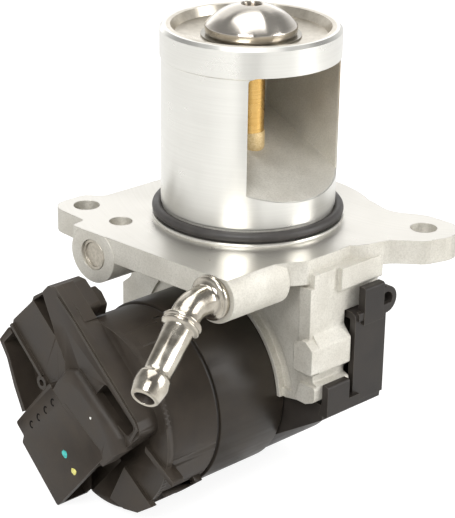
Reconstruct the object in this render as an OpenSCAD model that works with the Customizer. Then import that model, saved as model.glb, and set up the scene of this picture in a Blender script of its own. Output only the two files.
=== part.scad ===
// Electric exhaust gas recirculation valve
//
// Millimetres. The origin is on the gas tube's axis at the flange's top face. Z runs up along the tube.
// The motor lies along X under the flange. The connector cap is at its -X end, the gear cover at +X,
// and the tube's window faces -Y.
//
// The motor's pinion drives a double idler gear, and that drives the output gear. A roller on the
// output gear's crank pin runs in a cross slot of the stem's yoke and lifts the poppet off its seat.

/* [Gas tube] */
// Radius of the turned tube
tube_r = 25; // [23:0.5:28]
// Height of the tube's mouth over the flange
tube_h = 55.4; // [52:0.2:65]
// Radius of the band round the mouth
band_r = 25.4; // [25.2:0.1:28.5]
// Height of the band's lower edge
band_z = 47; // [44:0.5:50]
// Inner radius of the mouth's rim
mouth_r = 22.4; // [21:0.1:22.8]
// Inner radius of the gas passage
passage_r = 21; // [19:0.5:22]
// Half width of the side window
window_half_w = 17.6; // [14:0.2:18]
// Height of the window's upper edge
window_top = 47.3; // [45:0.1:47.6]
// Corner radius at the window's upper edge
window_corner_r = 1.6; // [1:0.2:4]
// Height of the passage's sloping floor on the tube's axis
floor_z = 21.5; // [20:0.5:24]
// Slope of the passage's floor in degrees
floor_slope = 23; // [18:1:26]
// Radius of the register lip that centres the tube in the engine
lip_r = 27.5; // [26.5:0.1:30]
// Height of the register lip
lip_h = 0.9; // [0.6:0.1:2]
// Section radius of the tube's seal
tube_seal_wire_r = 1.45; // [1.2:0.05:1.8]

/* [Valve] */
// Radius of the poppet's head
head_r = 12.9; // [12:0.1:14]
// Height of the lower edge of the head's rim
head_z = 53.5; // [53.2:0.1:54]
// Height of the straight rim of the head
head_rim_h = 1.8; // [1:0.1:3]
// Height of the dome over the head's rim
dome_h = 6.2; // [4:0.1:8]
// Radius of the turning recess in the dome
recess_r = 3; // [2:0.1:4]
// Radius of the gas throat under the seat
throat_r = 10.8; // [10:0.1:11.5]
// Outer radius of the pressed seat ring
seat_ro = 14; // [13.6:0.1:15]
// Height of the seat ring
seat_h = 4.2; // [3.6:0.1:4.6]
// Radius of the valve stem
stem_r = 3; // [2.6:0.1:3.3]
// Outer radius of the guide bush
bush_r = 4.2; // [3.9:0.1:5]
// Height of the bush's upper end
bush_top = 43; // [40:0.5:45]
// Height of the bush's lower end
bush_foot = 16; // [15:0.5:17]

/* [Return spring] */
// Radius of the spring's coil, to the middle of the wire
spring_r = 6.8; // [6:0.1:7.2]
// Radius of the spring's wire
spring_wire_r = 0.8; // [0.6:0.05:0.9]
// Number of the spring's turns
spring_turns = 6; // [5:0.5:8]
// Radius of the pocket that the spring works in
pocket_r = 9.2; // [9:0.1:10]
// Height of the pocket's roof
pocket_top = 13; // [11:0.5:14]

/* [Flange] */
// Thickness of the flange
plate_t = 7; // [6:0.2:8]
// Radius of the flange's round part
plate_r = 37.3; // [36:0.1:38.5]
// Distance of the straight back edge from the tube's axis
plate_back = 36.5; // [35:0.1:37]
// Left bolt hole, along X
ear_l_x = -32; // [-33:0.2:-31]
// Left bolt hole, along Y
ear_l_y = 34; // [33:0.2:35]
// Right bolt hole, along X
ear_r_x = 29; // [28:0.2:30]
// Right bolt hole, along Y
ear_r_y = -41.7; // [-43:0.1:-41]
// Outer radius of the right ear
ear_r = 8.6; // [7.6:0.1:9.2]
// Radius of the two bolt holes
bolt_hole_r = 3.8; // [3.3:0.1:4.3]
// Radius of the small third hole
third_hole_r = 3.3; // [2.6:0.1:3.5]
// Third hole, along Y
third_hole_y = 17.8; // [17:0.2:20]

/* [Cooling] */
// Radius of the front cooling boss
front_boss_r = 7.5; // [6.8:0.1:8]
// Distance of the front cooling drilling from the tube's axis
front_boss_y = 28.4; // [28:0.1:29]
// Depth of the cooling drillings under the flange's top face
front_boss_z = 5.85; // [5.6:0.05:6.4]
// Radius of the rear cooling boss
rear_boss_r = 8.2; // [7.6:0.1:8.6]
// Distance of the rear cooling drilling from the tube's axis
rear_boss_y = 16.2; // [15.6:0.1:17]
// Radius of the cooling drillings
drill_r = 3.4; // [2.8:0.1:3.6]
// Radius of the core plug
plug_r = 4.5; // [4.2:0.1:5.2]
// Thickness of the core plug
plug_t = 2.2; // [1.6:0.1:3]
// Outer radius of the nipple's tube
nipple_r = 4.2; // [4:0.05:4.5]
// Bore radius of the nipple
nipple_bore_r = 2.7; // [2.2:0.1:3]
// Length of the nipple from the side face to its bend
nipple_reach = 8.8; // [8:0.2:11]
// Length of the nipple from its bend to its end
nipple_leg = 29.7; // [26:0.2:34]
// Distance of the nipple's bead from the bend
bead_at = 6.3; // [6:0.1:8]

/* [Motor] */
// Depth of the motor's axis under the flange's top face
motor_drop = 47; // [46:0.2:49]
// Outer radius of the barrel
barrel_r = 27.3; // [27:0.1:28]
// Length of the barrel
barrel_l = 24; // [22:0.5:27]
// Wall of the barrel
barrel_wall = 2; // [1.6:0.1:2.2]
// Outer radius of the motor's magnets' steel can
can_r = 25.2; // [24.6:0.1:25.2]
// Wall of the steel can
can_wall = 1.5; // [1:0.1:2]
// Thickness of the field magnets
magnet_t = 4; // [3:0.1:4.4]
// Air gap between the magnets and the rotor
air_gap = 0.6; // [0.4:0.1:1]
// Number of rotor slots
rotor_slots = 12; // [8:2:16]
// Radius of the motor's shaft
shaft_r = 2; // [1.8:0.1:2.4]

/* [Gears] */
// Module of the pinion and of the idler's large gear
fast_module = 0.7; // [0.6:0.05:0.75]
// Teeth of the motor's pinion
pinion_teeth = 10; // [10:1:12]
// Teeth of the idler's large gear
idler_teeth = 40; // [36:1:41]
// Module of the idler's small gear and of the output gear
slow_module = 0.85; // [0.8:0.05:0.9]
// Teeth of the idler's small gear
small_teeth = 11; // [10:1:12]
// Teeth of the output gear
output_teeth = 33; // [31:1:34]
// Face width of the gears
gear_face = 4; // [3:0.2:4.2]
// Radius of the crank pin's circle
crank_r = 6; // [5:0.1:6.4]
// Swing of the crank to each side of level, in degrees
crank_swing = 40; // [30:1:45]
// Radius of the crank's roller
roller_r = 3; // [2.6:0.1:3.2]
// Radius of the crank pin
crank_pin_r = 1.25; // [1:0.05:1.4]
// Radius of the gears' axles
axle_r = 2; // [1.6:0.1:2.2]

/* [Gear case] */
// Half width of the casting at its front wall
case_front = 39.4; // [39:0.1:40.4]
// Half width of the casting at its lower block
case_block = 42.2; // [41.6:0.1:43]
// Half width of the gear chamber
chamber_half_w = 35; // [33:0.5:35.5]
// Distance of the cover's front wall from the tube's axis
cover_front = 43; // [42.8:0.1:44]
// Distance of the cover's end wall from the tube's axis
cover_end = 13.4; // [13:0.1:16]
// Wall of the cover
cover_wall = 2; // [1.6:0.1:2.4]

/* [End cap] */
// Outer radius of the cap's skirt
skirt_r = 26.6; // [26.4:0.1:27]
// Length of the cap's skirt
skirt_l = 18; // [16:0.5:20]
// Outer radius of the cap's rim
rim_r = 27.6; // [27.2:0.1:29]
// Thickness of the cap's end wall
cap_wall = 2.5; // [2:0.1:3]
// Height of the connector over the cap's end wall
socket_h = 10; // [9.5:0.1:11]
// Length of the connector
socket_l = 27; // [25:0.5:30]
// Width of the connector
socket_w = 27.4; // [26:0.2:30]
// Wall of the connector
socket_wall = 1.6; // [1.2:0.1:1.8]
// Angle of the connector's mouth under level, in degrees
socket_turn = 41; // [35:1:46]
// Number of contacts
contact_n = 5; // [3:1:6]

/* [Hidden] */
$fn = 72;

// Clearances: turning or sliding fits, faces that pass each other, and press fits
run_gap = 0.03;
face_gap = 0.3;
slot_gap = 0.2;
// Length by which a cut passes the face that it opens
over = 1;

alu = "gainsboro";
black = "#3c3a39";
steel = "silver";

// Tube seal and its groove
tube_seal_r = tube_r - 0.4 + tube_seal_wire_r;
tube_seal_z = lip_h + tube_seal_wire_r + 0.02;
groove_r = tube_seal_r - tube_seal_wire_r - 0.02;

// Poppet seat: a 45 degree cone that passes through the head's lower edge
seat_top = head_z - 0.7;
seat_foot = seat_top - seat_h;
head_foot_r = throat_r - 0.3;
head_foot_z = head_z - (head_r - head_foot_r);
dome_sphere_r = (pow(head_r, 2) + pow(dome_h, 2)) / (2 * dome_h);
dome_top = head_z + head_rim_h + dome_h;

// Stem seal and its washer, under the bush
seal_r = bush_r + 1.3;
washer_t = 1;
spring_top = pocket_top - washer_t;

// Crank and yoke
motor_z = -motor_drop;
pin_rest = [crank_r * cos(crank_swing), -crank_r * sin(crank_swing)];
output_y = -crank_r * (1 + cos(crank_swing)) / 2;
yoke_z = -28.36;
output_z = yoke_z - pin_rest[1];
roller_y = output_y + pin_rest[0];
roller_travel = crank_r - pin_rest[0];
slot_r = roller_r + slot_gap;
slot_run = roller_travel + slot_gap;
yoke_half_t = 3.2;
yoke_half_w = slot_r + slot_run + 2.2;
yoke_foot_z = yoke_z - slot_r - 2.2;
yoke_neck_half_w = 5;
thread_r = 2.4;
stem_foot_z = yoke_z + slot_r + 1.2;
disc_r = 8.2;
disc_top = -7.5;
disc_t = 1.8;
yoke_top = disc_top - disc_t;

// Gear train: pitch radii, and the idler's axis from its two centre distances
pinion_r = pinion_teeth * fast_module / 2;
idler_r = idler_teeth * fast_module / 2;
small_r = small_teeth * slow_module / 2;
output_r = output_teeth * slow_module / 2;
fast_centres = pinion_r + idler_r;
slow_centres = small_r + output_r;
span = norm([output_y, output_z - motor_z]);
along = (pow(fast_centres, 2) - pow(slow_centres, 2) + pow(span, 2)) / (2 * span);
aside = sqrt(pow(fast_centres, 2) - pow(along, 2));
span_dir = [output_y, output_z - motor_z] / span;
idler_y = along * span_dir[0] + aside * span_dir[1];
idler_z = motor_z + along * span_dir[1] - aside * span_dir[0];
fast_x = -8.2;
slow_x = 3.6;
crank_face_x = slow_x + gear_face;

// Cover and chamber
cover_edge = 1;
gasket_t = 0.8;
cover_inner = cover_end - cover_wall;
chamber_roof = -8.5;
cover_roof = -plate_t - 0.1;
shoulder_z = -18;
shoulder_y = 36.4;
roof_y = 34.2;
sill_z = -44.4;
cover_r = 26.7;
magnet_ring_t = 1.8;
board_t = 1;
board_half_y = 14;
board_half_z = 9;

// Motor
barrel_x1 = -10.5;
barrel_x0 = barrel_x1 - barrel_l;
barrel_ri = barrel_r - barrel_wall;
front_wall = 2.5;
seal_t = 0.6;
cap_seal_t = 0.8;
skirt_x1 = barrel_x0 - cap_seal_t;
cap_x = skirt_x1 - skirt_l;
cap_inner = cap_x + cap_wall;
bearing_r = 5;
bearing_w = 4;
bearing_hub_r = 7;
front_bearing_x = barrel_x1 - 0.5 - bearing_w;
rear_bearing_x = cap_inner + 0.2;
can_x0 = rear_bearing_x + bearing_w + 1.8;
can_x1 = barrel_x1 - front_wall - 0.1;
magnet_ri = can_r - can_wall - magnet_t;
rotor_r = magnet_ri - air_gap;
core_x0 = -36;
core_x1 = -20;
winding_l = 3;
brush_plate_t = 1.4;
commutator_r = 6.5;
brush_l = 9;
brush_w = 4.4;
brush_t = 4;
brush_box_l = 10;
brush_box_w = 6.8;
commutator_x0 = rear_bearing_x + bearing_w + 0.8;
commutator_x1 = core_x0 - winding_l;
// Connector's back and lower side, measured from the motor's axis along and across its mouth
socket_root = -14.6;
socket_side = -29.4;

// Flange and casting
face_x = -42;
face_slant = 6.06;
saddle_x0 = -12;
motor_opening_r = barrel_r + 0.15;
chamber_x0 = -8.9;

// Unit vector from point a to point b
function unit2(a, b) = (([b[0], b[1]] - [a[0], a[1]]) / norm([b[0], b[1]] - [a[0], a[1]]));

// Arc of radius r at corner b between its neighbours a and c
function corner(a, b, c) =
  let (u = unit2(b, a), v = unit2(b, c), bend = acos(max(-1, min(1, u * v))), r = b[2])
  let (reach = r / tan(bend / 2), o = [b[0], b[1]] + (u + v) / norm(u + v) * r / sin(bend / 2))
  let (s = [b[0], b[1]] + u * reach - o, e = [b[0], b[1]] + v * reach - o)
  let (a0 = atan2(s[1], s[0]), turn = atan2(e[1], e[0]) - a0)
  let (da = turn > 180 ? turn - 360 : turn < -180 ? turn + 360 : turn, n = max(1, ceil(abs(da) / 18)))
  [for (i = [0:n]) o + r * [cos(a0 + da * i / n), sin(a0 + da * i / n)]];

// Outline through corners [x, y, radius]; a radius of 0 is a sharp corner
function outline(p) = [
  for (i = [0:len(p) - 1])
    each p[i][2] == 0 ? [[p[i][0], p[i][1]]] : corner(p[(i + len(p) - 1) % len(p)], p[i], p[(i + 1) % len(p)])
];

// Cylinder along X from x0 to x1
module rod_x(r, x0, x1, y = 0, z = 0) {
  translate([x0, y, z]) rotate([0, 90, 0]) cylinder(r = r, h = x1 - x0);
}

// Ring along X
module ring_x(ro, ri, x0, x1, y = 0, z = 0) {
  difference() {
    rod_x(ro, x0, x1, y, z);
    rod_x(ri, x0 - over, x1 + over, y, z);
  }
}

// Upright ring
module ring_z(ro, ri, z0, z1) {
  translate([0, 0, z0]) difference() {
    cylinder(r = ro, h = z1 - z0);
    translate([0, 0, -over]) cylinder(r = ri, h = z1 - z0 + 2 * over);
  }
}

// Outline in (y, z), extruded along X
module slab_x(p, x0, x1) {
  translate([x0, 0, 0]) rotate([90, 0, 90]) linear_extrude(x1 - x0) polygon(outline(p));
}

// Outline in (x, z), extruded along Y
module slab_y(p, y0, y1) {
  translate([0, y1, 0]) rotate([90, 0, 0]) linear_extrude(y1 - y0) polygon(outline(p));
}

// Outline in (x, y), extruded upwards
module slab_z(p, z0, z1) {
  translate([0, 0, z0]) linear_extrude(z1 - z0) polygon(outline(p));
}

// Involute of a base circle at the given roll angle, turned by a start angle
function involute(rb, roll, start, side) =
  let (a = start + side * (roll - atan(roll * PI / 180)), r = rb / cos(atan(roll * PI / 180)))
  [r * cos(a), r * sin(a)];

// Spur gear outline: 20 degree involute flanks, thinned for backlash, first tooth on the first axis
function gear_points(m, teeth, backlash = 0.09) =
  let (rp = m * teeth / 2, rb = rp * cos(20), ra = rp + 0.92 * m, rf = rp - 1.2 * m)
  let (inv20 = tan(20) * 180 / PI - 20, half = 90 / teeth - backlash / rp * 90 / PI + inv20)
  let (top = sqrt(pow(ra / rb, 2) - 1) * 180 / PI, n = 5)
  [for (t = [0:teeth - 1]) let (c = 360 * t / teeth) each [
    [rf * cos(c - half), rf * sin(c - half)],
    for (i = [0:n]) involute(rb, top * i / n, c - half, 1),
    for (i = [n:-1:0]) involute(rb, top * i / n, c + half, -1),
    [rf * cos(c + half), rf * sin(c + half)]
  ]];

// Spur gear along X about (y, z), its first tooth turned to the given direction in the YZ plane
module spur_x(m, teeth, x0, face, y, z, turn) {
  translate([x0, y, z]) rotate([90, 0, 90]) rotate([0, 0, turn])
    linear_extrude(face) polygon(gear_points(m, teeth));
}

// Deep groove ball bearing drawn as one ring with shield grooves
module bearing(x0) {
  difference() {
    rod_x(bearing_r, x0, x0 + bearing_w, 0, motor_z);
    rod_x(shaft_r, x0 - over, x0 + bearing_w + over, 0, motor_z);
    for (x = [x0 - over, x0 + bearing_w - 0.3])
      ring_x(bearing_r - 0.8, shaft_r + 0.8, x, x + over + 0.3, 0, motor_z);
  }
}

// Turned outside of the tube with its lip, seal groove, mouth funnel and band
module tube_solid() {
  rotate_extrude($fn = 96) polygon([
    [0, -plate_t], [lip_r - 0.3, -plate_t], [lip_r - 0.3, 0], [lip_r, 0], [lip_r, lip_h], [groove_r, lip_h],
    [groove_r, tube_seal_z + tube_seal_wire_r + 0.1], [tube_r, tube_seal_z + tube_seal_wire_r + 0.5],
    [tube_r, band_z - 0.4], [band_r, band_z], [band_r, tube_h - 0.9], [band_r - 0.9, tube_h],
    [mouth_r, tube_h], [mouth_r - 1.2, tube_h - 2.4], [seat_ro, seat_top - 0.4], [0, seat_top - 0.4]
  ]);
}

// Gas passage: the window with its sloping floor, closed at the back by the passage's bore
module passage_cut() {
  slope_back = floor_z + passage_r * tan(floor_slope);
  slope_front = floor_z - (tube_r + 2) * tan(floor_slope);
  intersection() {
    slab_x([[-tube_r - 2, slope_front, 0], [passage_r, slope_back, 3], [passage_r, window_top, 0],
            [-tube_r - 2, window_top, 0]], -window_half_w, window_half_w);
    slab_y([[-window_half_w, 0, 0], [window_half_w, 0, 0],
            [window_half_w, window_top, window_corner_r], [-window_half_w, window_top, window_corner_r]],
           -tube_r - 2, passage_r);
    union() {
      translate([0, 0, 0]) cylinder(r = passage_r, h = tube_h);
      translate([-tube_r, -tube_r - 3, 0]) cube([2 * tube_r, tube_r + 3, tube_h]);
    }
  }
}

// Flange with its two ears, outlined from the bolt holes
module flange_plate() {
  intersection() {
    translate([0, 0, -plate_t]) cylinder(r = plate_r, h = plate_t);
    translate([-60, -60, -plate_t - over]) cube([120, 60 + plate_back, plate_t + 2 * over]);
  }
  slab_z(left_block(), -plate_t, 0);
  slab_z([[0, -30, 0], [4, -38.7, 9], [15, ear_r_y, 7], [ear_r_x - 7, ear_r_y - ear_r + 1.2, 5],
          [ear_r_x + 2, ear_r_y - ear_r - 1.4, 7], [ear_r_x + ear_r + 0.4, ear_r_y - 6, 6],
          [ear_r_x + ear_r - 0.6, ear_r_y + 6, 9], [31, -27, 8], [33.5, -17, 0], [0, -17, 0]],
         -plate_t, 0);
}

// Left block of the flange, with the side face that carries the nipple and the plug
function left_block() = [
  [0, -30, 0], [0, -37.5, 0], [-13, -37.5, 2], [-18, -34.6, 4], [-22, -33, 4], [side_x(-33), -33, 1.2],
  [side_x(14), 14, 8], [side_x(24.4), 24.4, 1], [ear_l_x - 8, 25.2, 0.8], [ear_l_x - 8, ear_l_y + 7, 5.5],
  [ear_l_x + 4.5, ear_l_y + 7, 3.5], [ear_l_x + 8.6, plate_back, 4], [0, plate_back, 0]
];

// Side face's plane, moved out by d: the space beyond it, to be cut away
module beyond_face(d = 0) {
  translate([face_x - d, -2, 0]) rotate([0, 0, face_slant]) translate([-40, -60, -60]) cube([40, 120, 120]);
}

// Bosses cast round the two cooling drillings
module cooling_bosses() {
  difference() {
    union() {
      rod_x(front_boss_r, -48, -18, -front_boss_y, -front_boss_z);
      slab_x([[-33, -11.6, 1.2], [-front_boss_y + 4, -11.6, 0], [-front_boss_y + 4, -4, 0], [-33, -4, 0]],
             -41, -19.5);
      slab_y([[-24, -11.6, 0], [-14, -plate_t, 0], [-14, -4, 0], [-24, -4, 0]], -33, -front_boss_y + 4);
    }
    beyond_face();
    translate([-50, -50, 0]) cube([50, 100, 20]);
  }
  difference() {
    rod_x(rear_boss_r, -50, -24, rear_boss_y, -front_boss_z - 0.85);
    beyond_face(0.2);
    translate([-50, -50, 0]) cube([50, 100, 20]);
  }
}

// Outline of the casting round the gear chamber, in (y, z), for its front half
function case_outline() = [
  [0, -4, 0], [-case_front, -4, 0], [-case_front, -21.8, 1.5], [-case_block, -24.8, 0.8],
  [-case_block, -32.4, 0.8], [-case_front - 0.4, -34, 0.8], [-case_front - 0.4, -36, 0.6],
  [-case_block + 0.2, -36.8, 0.8], [-case_block + 0.2, -41, 1.6], [-39, -42.6, 0],
  [-29.6, sill_z, 0], [29.6, sill_z, 0], [39, -42.6, 0], [case_block, -41, 1.6], [case_block, -32.6, 0.8],
  [case_front - 1.4, -29.2, 3], [case_front - 1.4, -4, 0]
];

// Casting that carries the motor and closes the gear chamber's motor side
module saddle_solid() {
  slab_x(case_outline(), saddle_x0, cover_edge - gasket_t);
  // Front wall's blocks, proud of the casting's motor side
  slab_x([[-35, -24.6, 0], [-35, -32.4, 0], [-case_block, -32.4, 0.8], [-case_block, -24.8, 0.8],
          [-case_front, -22.8, 0.5], [-38, -22.8, 0]], saddle_x0 - 3, saddle_x0);
  slab_x([[-35, -8, 0], [-35, -30, 0], [-case_front, -30, 0], [-case_front, -8, 0]], saddle_x0 - 1.3,
         saddle_x0);
  slab_x([[-36, -36.8, 0], [-case_block + 0.2, -36.8, 0.8], [-case_block + 0.2, -41, 1.6],
          [-38.6, -42.6, 0], [-34, -42.6, 0]], saddle_x0 - 1.3, saddle_x0);
  // Ledge under the right ear that the cover's upper tab hooks on, and the corner posts
  slab_x([[-33, -4, 0], [-41, -4, 0], [-41, -10.4, 0.8], [-case_front, -11.4, 0.6],
          [-case_front, shoulder_z + 0.3, 0], [-shoulder_y - 0.3, shoulder_z + 0.3, 0],
          [-roof_y - 0.3, -plate_t, 0], [-33, -plate_t, 0]], -3, cover_end - 0.2);
  slab_x([[33, -4, 0], [case_front - 1.4, -4, 0], [case_front - 1.4, shoulder_z + 0.3, 0],
          [shoulder_y + 0.3, shoulder_z + 0.3, 0], [roof_y + 0.3, -plate_t, 0], [33, -plate_t, 0]],
         -3, cover_end - 0.2);
  // Collar round the barrel
  intersection() {
    ring_x(motor_opening_r + 1.2, motor_opening_r, saddle_x0 - 1.3, saddle_x0 + 0.5, 0, motor_z);
    translate([-30, -40, sill_z]) cube([40, 80, 60]);
  }
}

// Aluminium casting with the gas tube, the flange, the cooling bosses and the gear case
module valve_housing() {
  color(alu) difference() {
    union() {
      tube_solid();
      flange_plate();
      cooling_bosses();
      saddle_solid();
    }
    passage_cut();
    // Throat, seat ring, bush, stem seal and spring pocket, one above the other on the axis
    translate([0, 0, window_top - over]) cylinder(r = throat_r, h = seat_h + over + 6);
    translate([0, 0, seat_foot]) cylinder(r = seat_ro, h = seat_h + over);
    translate([0, 0, bush_foot - over]) cylinder(r = bush_r, h = floor_z - bush_foot + 8);
    translate([0, 0, pocket_top - over]) cylinder(r = seal_r, h = bush_foot - pocket_top + over);
    translate([0, 0, chamber_roof - over]) cylinder(r = pocket_r, h = pocket_top - chamber_roof + over);
    // Bolt holes
    translate([ear_l_x, ear_l_y, -plate_t - over]) cylinder(r = bolt_hole_r, h = plate_t + 2 * over);
    translate([ear_r_x, ear_r_y, -plate_t - over]) cylinder(r = bolt_hole_r, h = plate_t + 2 * over);
    translate([ear_l_x - 0.5, third_hole_y, -3.4]) cylinder(r = third_hole_r, h = 3.4 + over);
    // Cooling drillings, and the counterbore of the plug
    rod_x(drill_r - 0.6, -60, -22, -front_boss_y, -front_boss_z);
    aim([nipple_face_x(), -front_boss_y, -front_boss_z], nipple_out())
      translate([0, 0, -nipple_spigot]) cylinder(r = drill_r, h = nipple_spigot + over);
    rod_x(drill_r, -60, -30, rear_boss_y, -front_boss_z - 0.85);
    rod_x(plug_r, -60, plug_x() + plug_t, rear_boss_y, -front_boss_z - 0.85);
    // Motor opening with the collar's groove, and the gear chamber
    rod_x(motor_opening_r, -60, barrel_x1 + seal_t, 0, motor_z);
    rod_x(motor_opening_r - 2.6, -60, 0, 0, motor_z);
    difference() {
      rod_x(motor_opening_r + 5, saddle_x0 - over, saddle_x0 + 0.9, 0, motor_z);
      rod_x(motor_opening_r + 1.2, saddle_x0 - 2 * over, saddle_x0 + 0.9 + over, 0, motor_z);
      translate([-20, -50, sill_z - 40]) cube([20, 100, 40]);
      translate([-20, -case_block, sill_z]) cube([20, 2 * case_block, 2.6]);
    }
    translate([chamber_x0, -chamber_half_w, sill_z - 20])
      cube([cover_edge - chamber_x0, 2 * chamber_half_w, chamber_roof - sill_z + 20]);
  }
}

// Place of the slanted side face along X at a given Y, and so of the core plug and the nipple's collar
function side_x(y) = face_x - (y + 2) * tan(face_slant);
function plug_x() = side_x(rear_boss_y);
function nipple_face_x() = side_x(-front_boss_y);

// Direction in which the nipple leaves the side face
function nipple_out() = [-cos(face_slant), -sin(face_slant), 0];

// Hard ring that the poppet closes on
module seat_ring() {
  color("#8f8c86") translate([0, 0, seat_foot]) rotate_extrude() polygon([
    [throat_r, 0], [seat_ro, 0], [seat_ro, seat_h], [throat_r + seat_h * 0.34, seat_h],
    [throat_r, seat_h - seat_h * 0.34]
  ]);
}

// Brass bush with a collar band at its foot
module guide_bush() {
  color("goldenrod") rotate_extrude() polygon([
    [stem_r + run_gap, bush_foot], [bush_r, bush_foot], [bush_r, bush_top - 0.6], [bush_r - 0.6, bush_top],
    [stem_r + run_gap, bush_top]
  ]);
}

// Lip seal under the bush
module stem_seal() {
  color("dimgray") rotate_extrude() polygon([
    [stem_r + run_gap, bush_foot - 1.2], [stem_r + 1, bush_foot], [seal_r, bush_foot], [seal_r, pocket_top],
    [stem_r + 1.2, pocket_top], [stem_r + run_gap, pocket_top + 1.4]
  ]);
}

// Washer that holds the seal and carries the spring's fixed end
module seal_washer() {
  color(steel) ring_z(pocket_r, stem_r + 0.4, spring_top, pocket_top);
}

// Seal round the foot of the tube
module tube_seal() {
  color("#2c2b2a") rotate_extrude($fn = 96)
    translate([tube_seal_r, tube_seal_z]) circle(r = tube_seal_wire_r, $fn = 24);
}

// Stainless poppet: dome, conical seat face and stem, in one turned outline
module poppet_valve() {
  dome_steps = 12;
  dome_span = asin(head_r / dome_sphere_r);
  recess_edge = asin(recess_r / dome_sphere_r);
  dome_z = dome_top - dome_sphere_r;
  color("whitesmoke") rotate_extrude($fn = 96) polygon([
    [0, stem_foot_z], [thread_r - 0.4, stem_foot_z], [thread_r, stem_foot_z + 0.4], [thread_r, yoke_top],
    [stem_r, yoke_top], [stem_r, head_foot_z - 5],
    [stem_r + 1.4, head_foot_z - 1.6], [head_foot_r - 2, head_foot_z], [head_foot_r, head_foot_z],
    [head_r, head_z], [head_r, head_z + head_rim_h],
    for (i = [1:dome_steps])
      let (a = dome_span + (recess_edge - dome_span) * i / dome_steps)
      [dome_sphere_r * sin(a), dome_z + dome_sphere_r * cos(a)],
    [recess_r * 0.8, dome_top - 1.6], [0, dome_top - 2.2]
  ]);
}

// Points of the ring of wire at a given turn of the spring
function wire_ring(a, z, sides) = [
  for (s = [0:sides - 1])
    let (r = spring_r + spring_wire_r * cos(360 * s / sides))
    [r * cos(a), r * sin(a), z + spring_wire_r * sin(360 * s / sides)]
];

// Return spring between the washer and the yoke's disc, its end turns laid flat
module return_spring() {
  sides = 8;
  per_turn = 16;
  n = spring_turns * per_turn;
  foot = disc_top + spring_wire_r + 0.1;
  top = spring_top - spring_wire_r - 0.1;
  dead = 2 * spring_wire_r + 0.1;
  rings = [
    for (i = [0:n])
      let (t = i / per_turn, m = spring_turns)
      let (rise = t < 1 ? dead * t : t > m - 1 ? top - foot - dead * (m - t)
                  : dead + (top - foot - 2 * dead) * (t - 1) / (m - 2))
      wire_ring(360 * t, foot + rise, sides)
  ];
  color("lightsteelblue") polyhedron(
    points = [for (r = rings) each r],
    faces = [
      [for (s = [0:sides - 1]) s],
      [for (s = [sides - 1:-1:0]) n * sides + s],
      for (i = [0:n - 1]) for (s = [0:sides - 1])
        let (e = (s + 1) % sides)
        each [[i * sides + s, (i + 1) * sides + s, (i + 1) * sides + e],
              [i * sides + s, (i + 1) * sides + e, i * sides + e]]
    ]);
}

// Plate on the stem's shoulder that takes the spring's lower end
module spring_plate() {
  color(steel) ring_z(disc_r, stem_r, yoke_top, disc_top);
}

// Crosshead screwed on the stem's foot: neck and the cross slot of the roller
module stem_yoke() {
  color(steel) difference() {
    slab_x([[-yoke_half_w, yoke_foot_z, 3], [yoke_half_w, yoke_foot_z, 3],
            [yoke_half_w, yoke_z + slot_r + 2, 2.5], [yoke_neck_half_w, yoke_z + slot_r + 4.5, 1],
            [yoke_neck_half_w, yoke_top, 1], [-yoke_neck_half_w, yoke_top, 1],
            [-yoke_neck_half_w, yoke_z + slot_r + 4.5, 1], [-yoke_half_w, yoke_z + slot_r + 2, 2.5]],
           -yoke_half_t, yoke_half_t);
    translate([0, 0, stem_foot_z]) cylinder(r = thread_r, h = yoke_top - stem_foot_z + over);
    for (y = [-slot_run, slot_run]) rod_x(slot_r, -yoke_half_t - over, yoke_half_t + over, y, yoke_z);
    translate([-yoke_half_t - over, -slot_run, yoke_z - slot_r])
      cube([2 * (yoke_half_t + over), 2 * slot_run, 2 * slot_r]);
  }
}

// Cup plug pressed into the rear cooling drilling
module core_plug() {
  color("darkgray") difference() {
    rod_x(plug_r, plug_x(), plug_x() + plug_t, rear_boss_y, -front_boss_z - 0.85);
    rod_x(plug_r - 1, plug_x() - over, plug_x() + 0.5, rear_boss_y, -front_boss_z - 0.85);
  }
}

// Direction of the nipple's leg after the bend
leg_dir = [-0.797, -0.311, -0.518];
// Radius of the nipple's bend, to the middle of the tube
nipple_bend_r = 9;
// Length of the nipple's spigot inside its boss
nipple_spigot = 6;
// The bend is this much slimmer than the leg, and the leg starts this far inside it
bend_step = 0.1;
bend_lap = 0.3;

// Places what is drawn along +Z at a point, along the given direction
module aim(at, dir) {
  translate(at) rotate([0, acos(dir[2] / norm(dir)), atan2(dir[1], dir[0])]) children();
}

// Bend of the nipple, drawn from +Z towards +X
module bend_arc(r, bend) {
  translate([nipple_bend_r, 0, 0]) rotate([90, 0, 180]) rotate_extrude(angle = bend, $fn = 48)
    translate([nipple_bend_r, 0]) circle(r = r);
}

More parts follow.
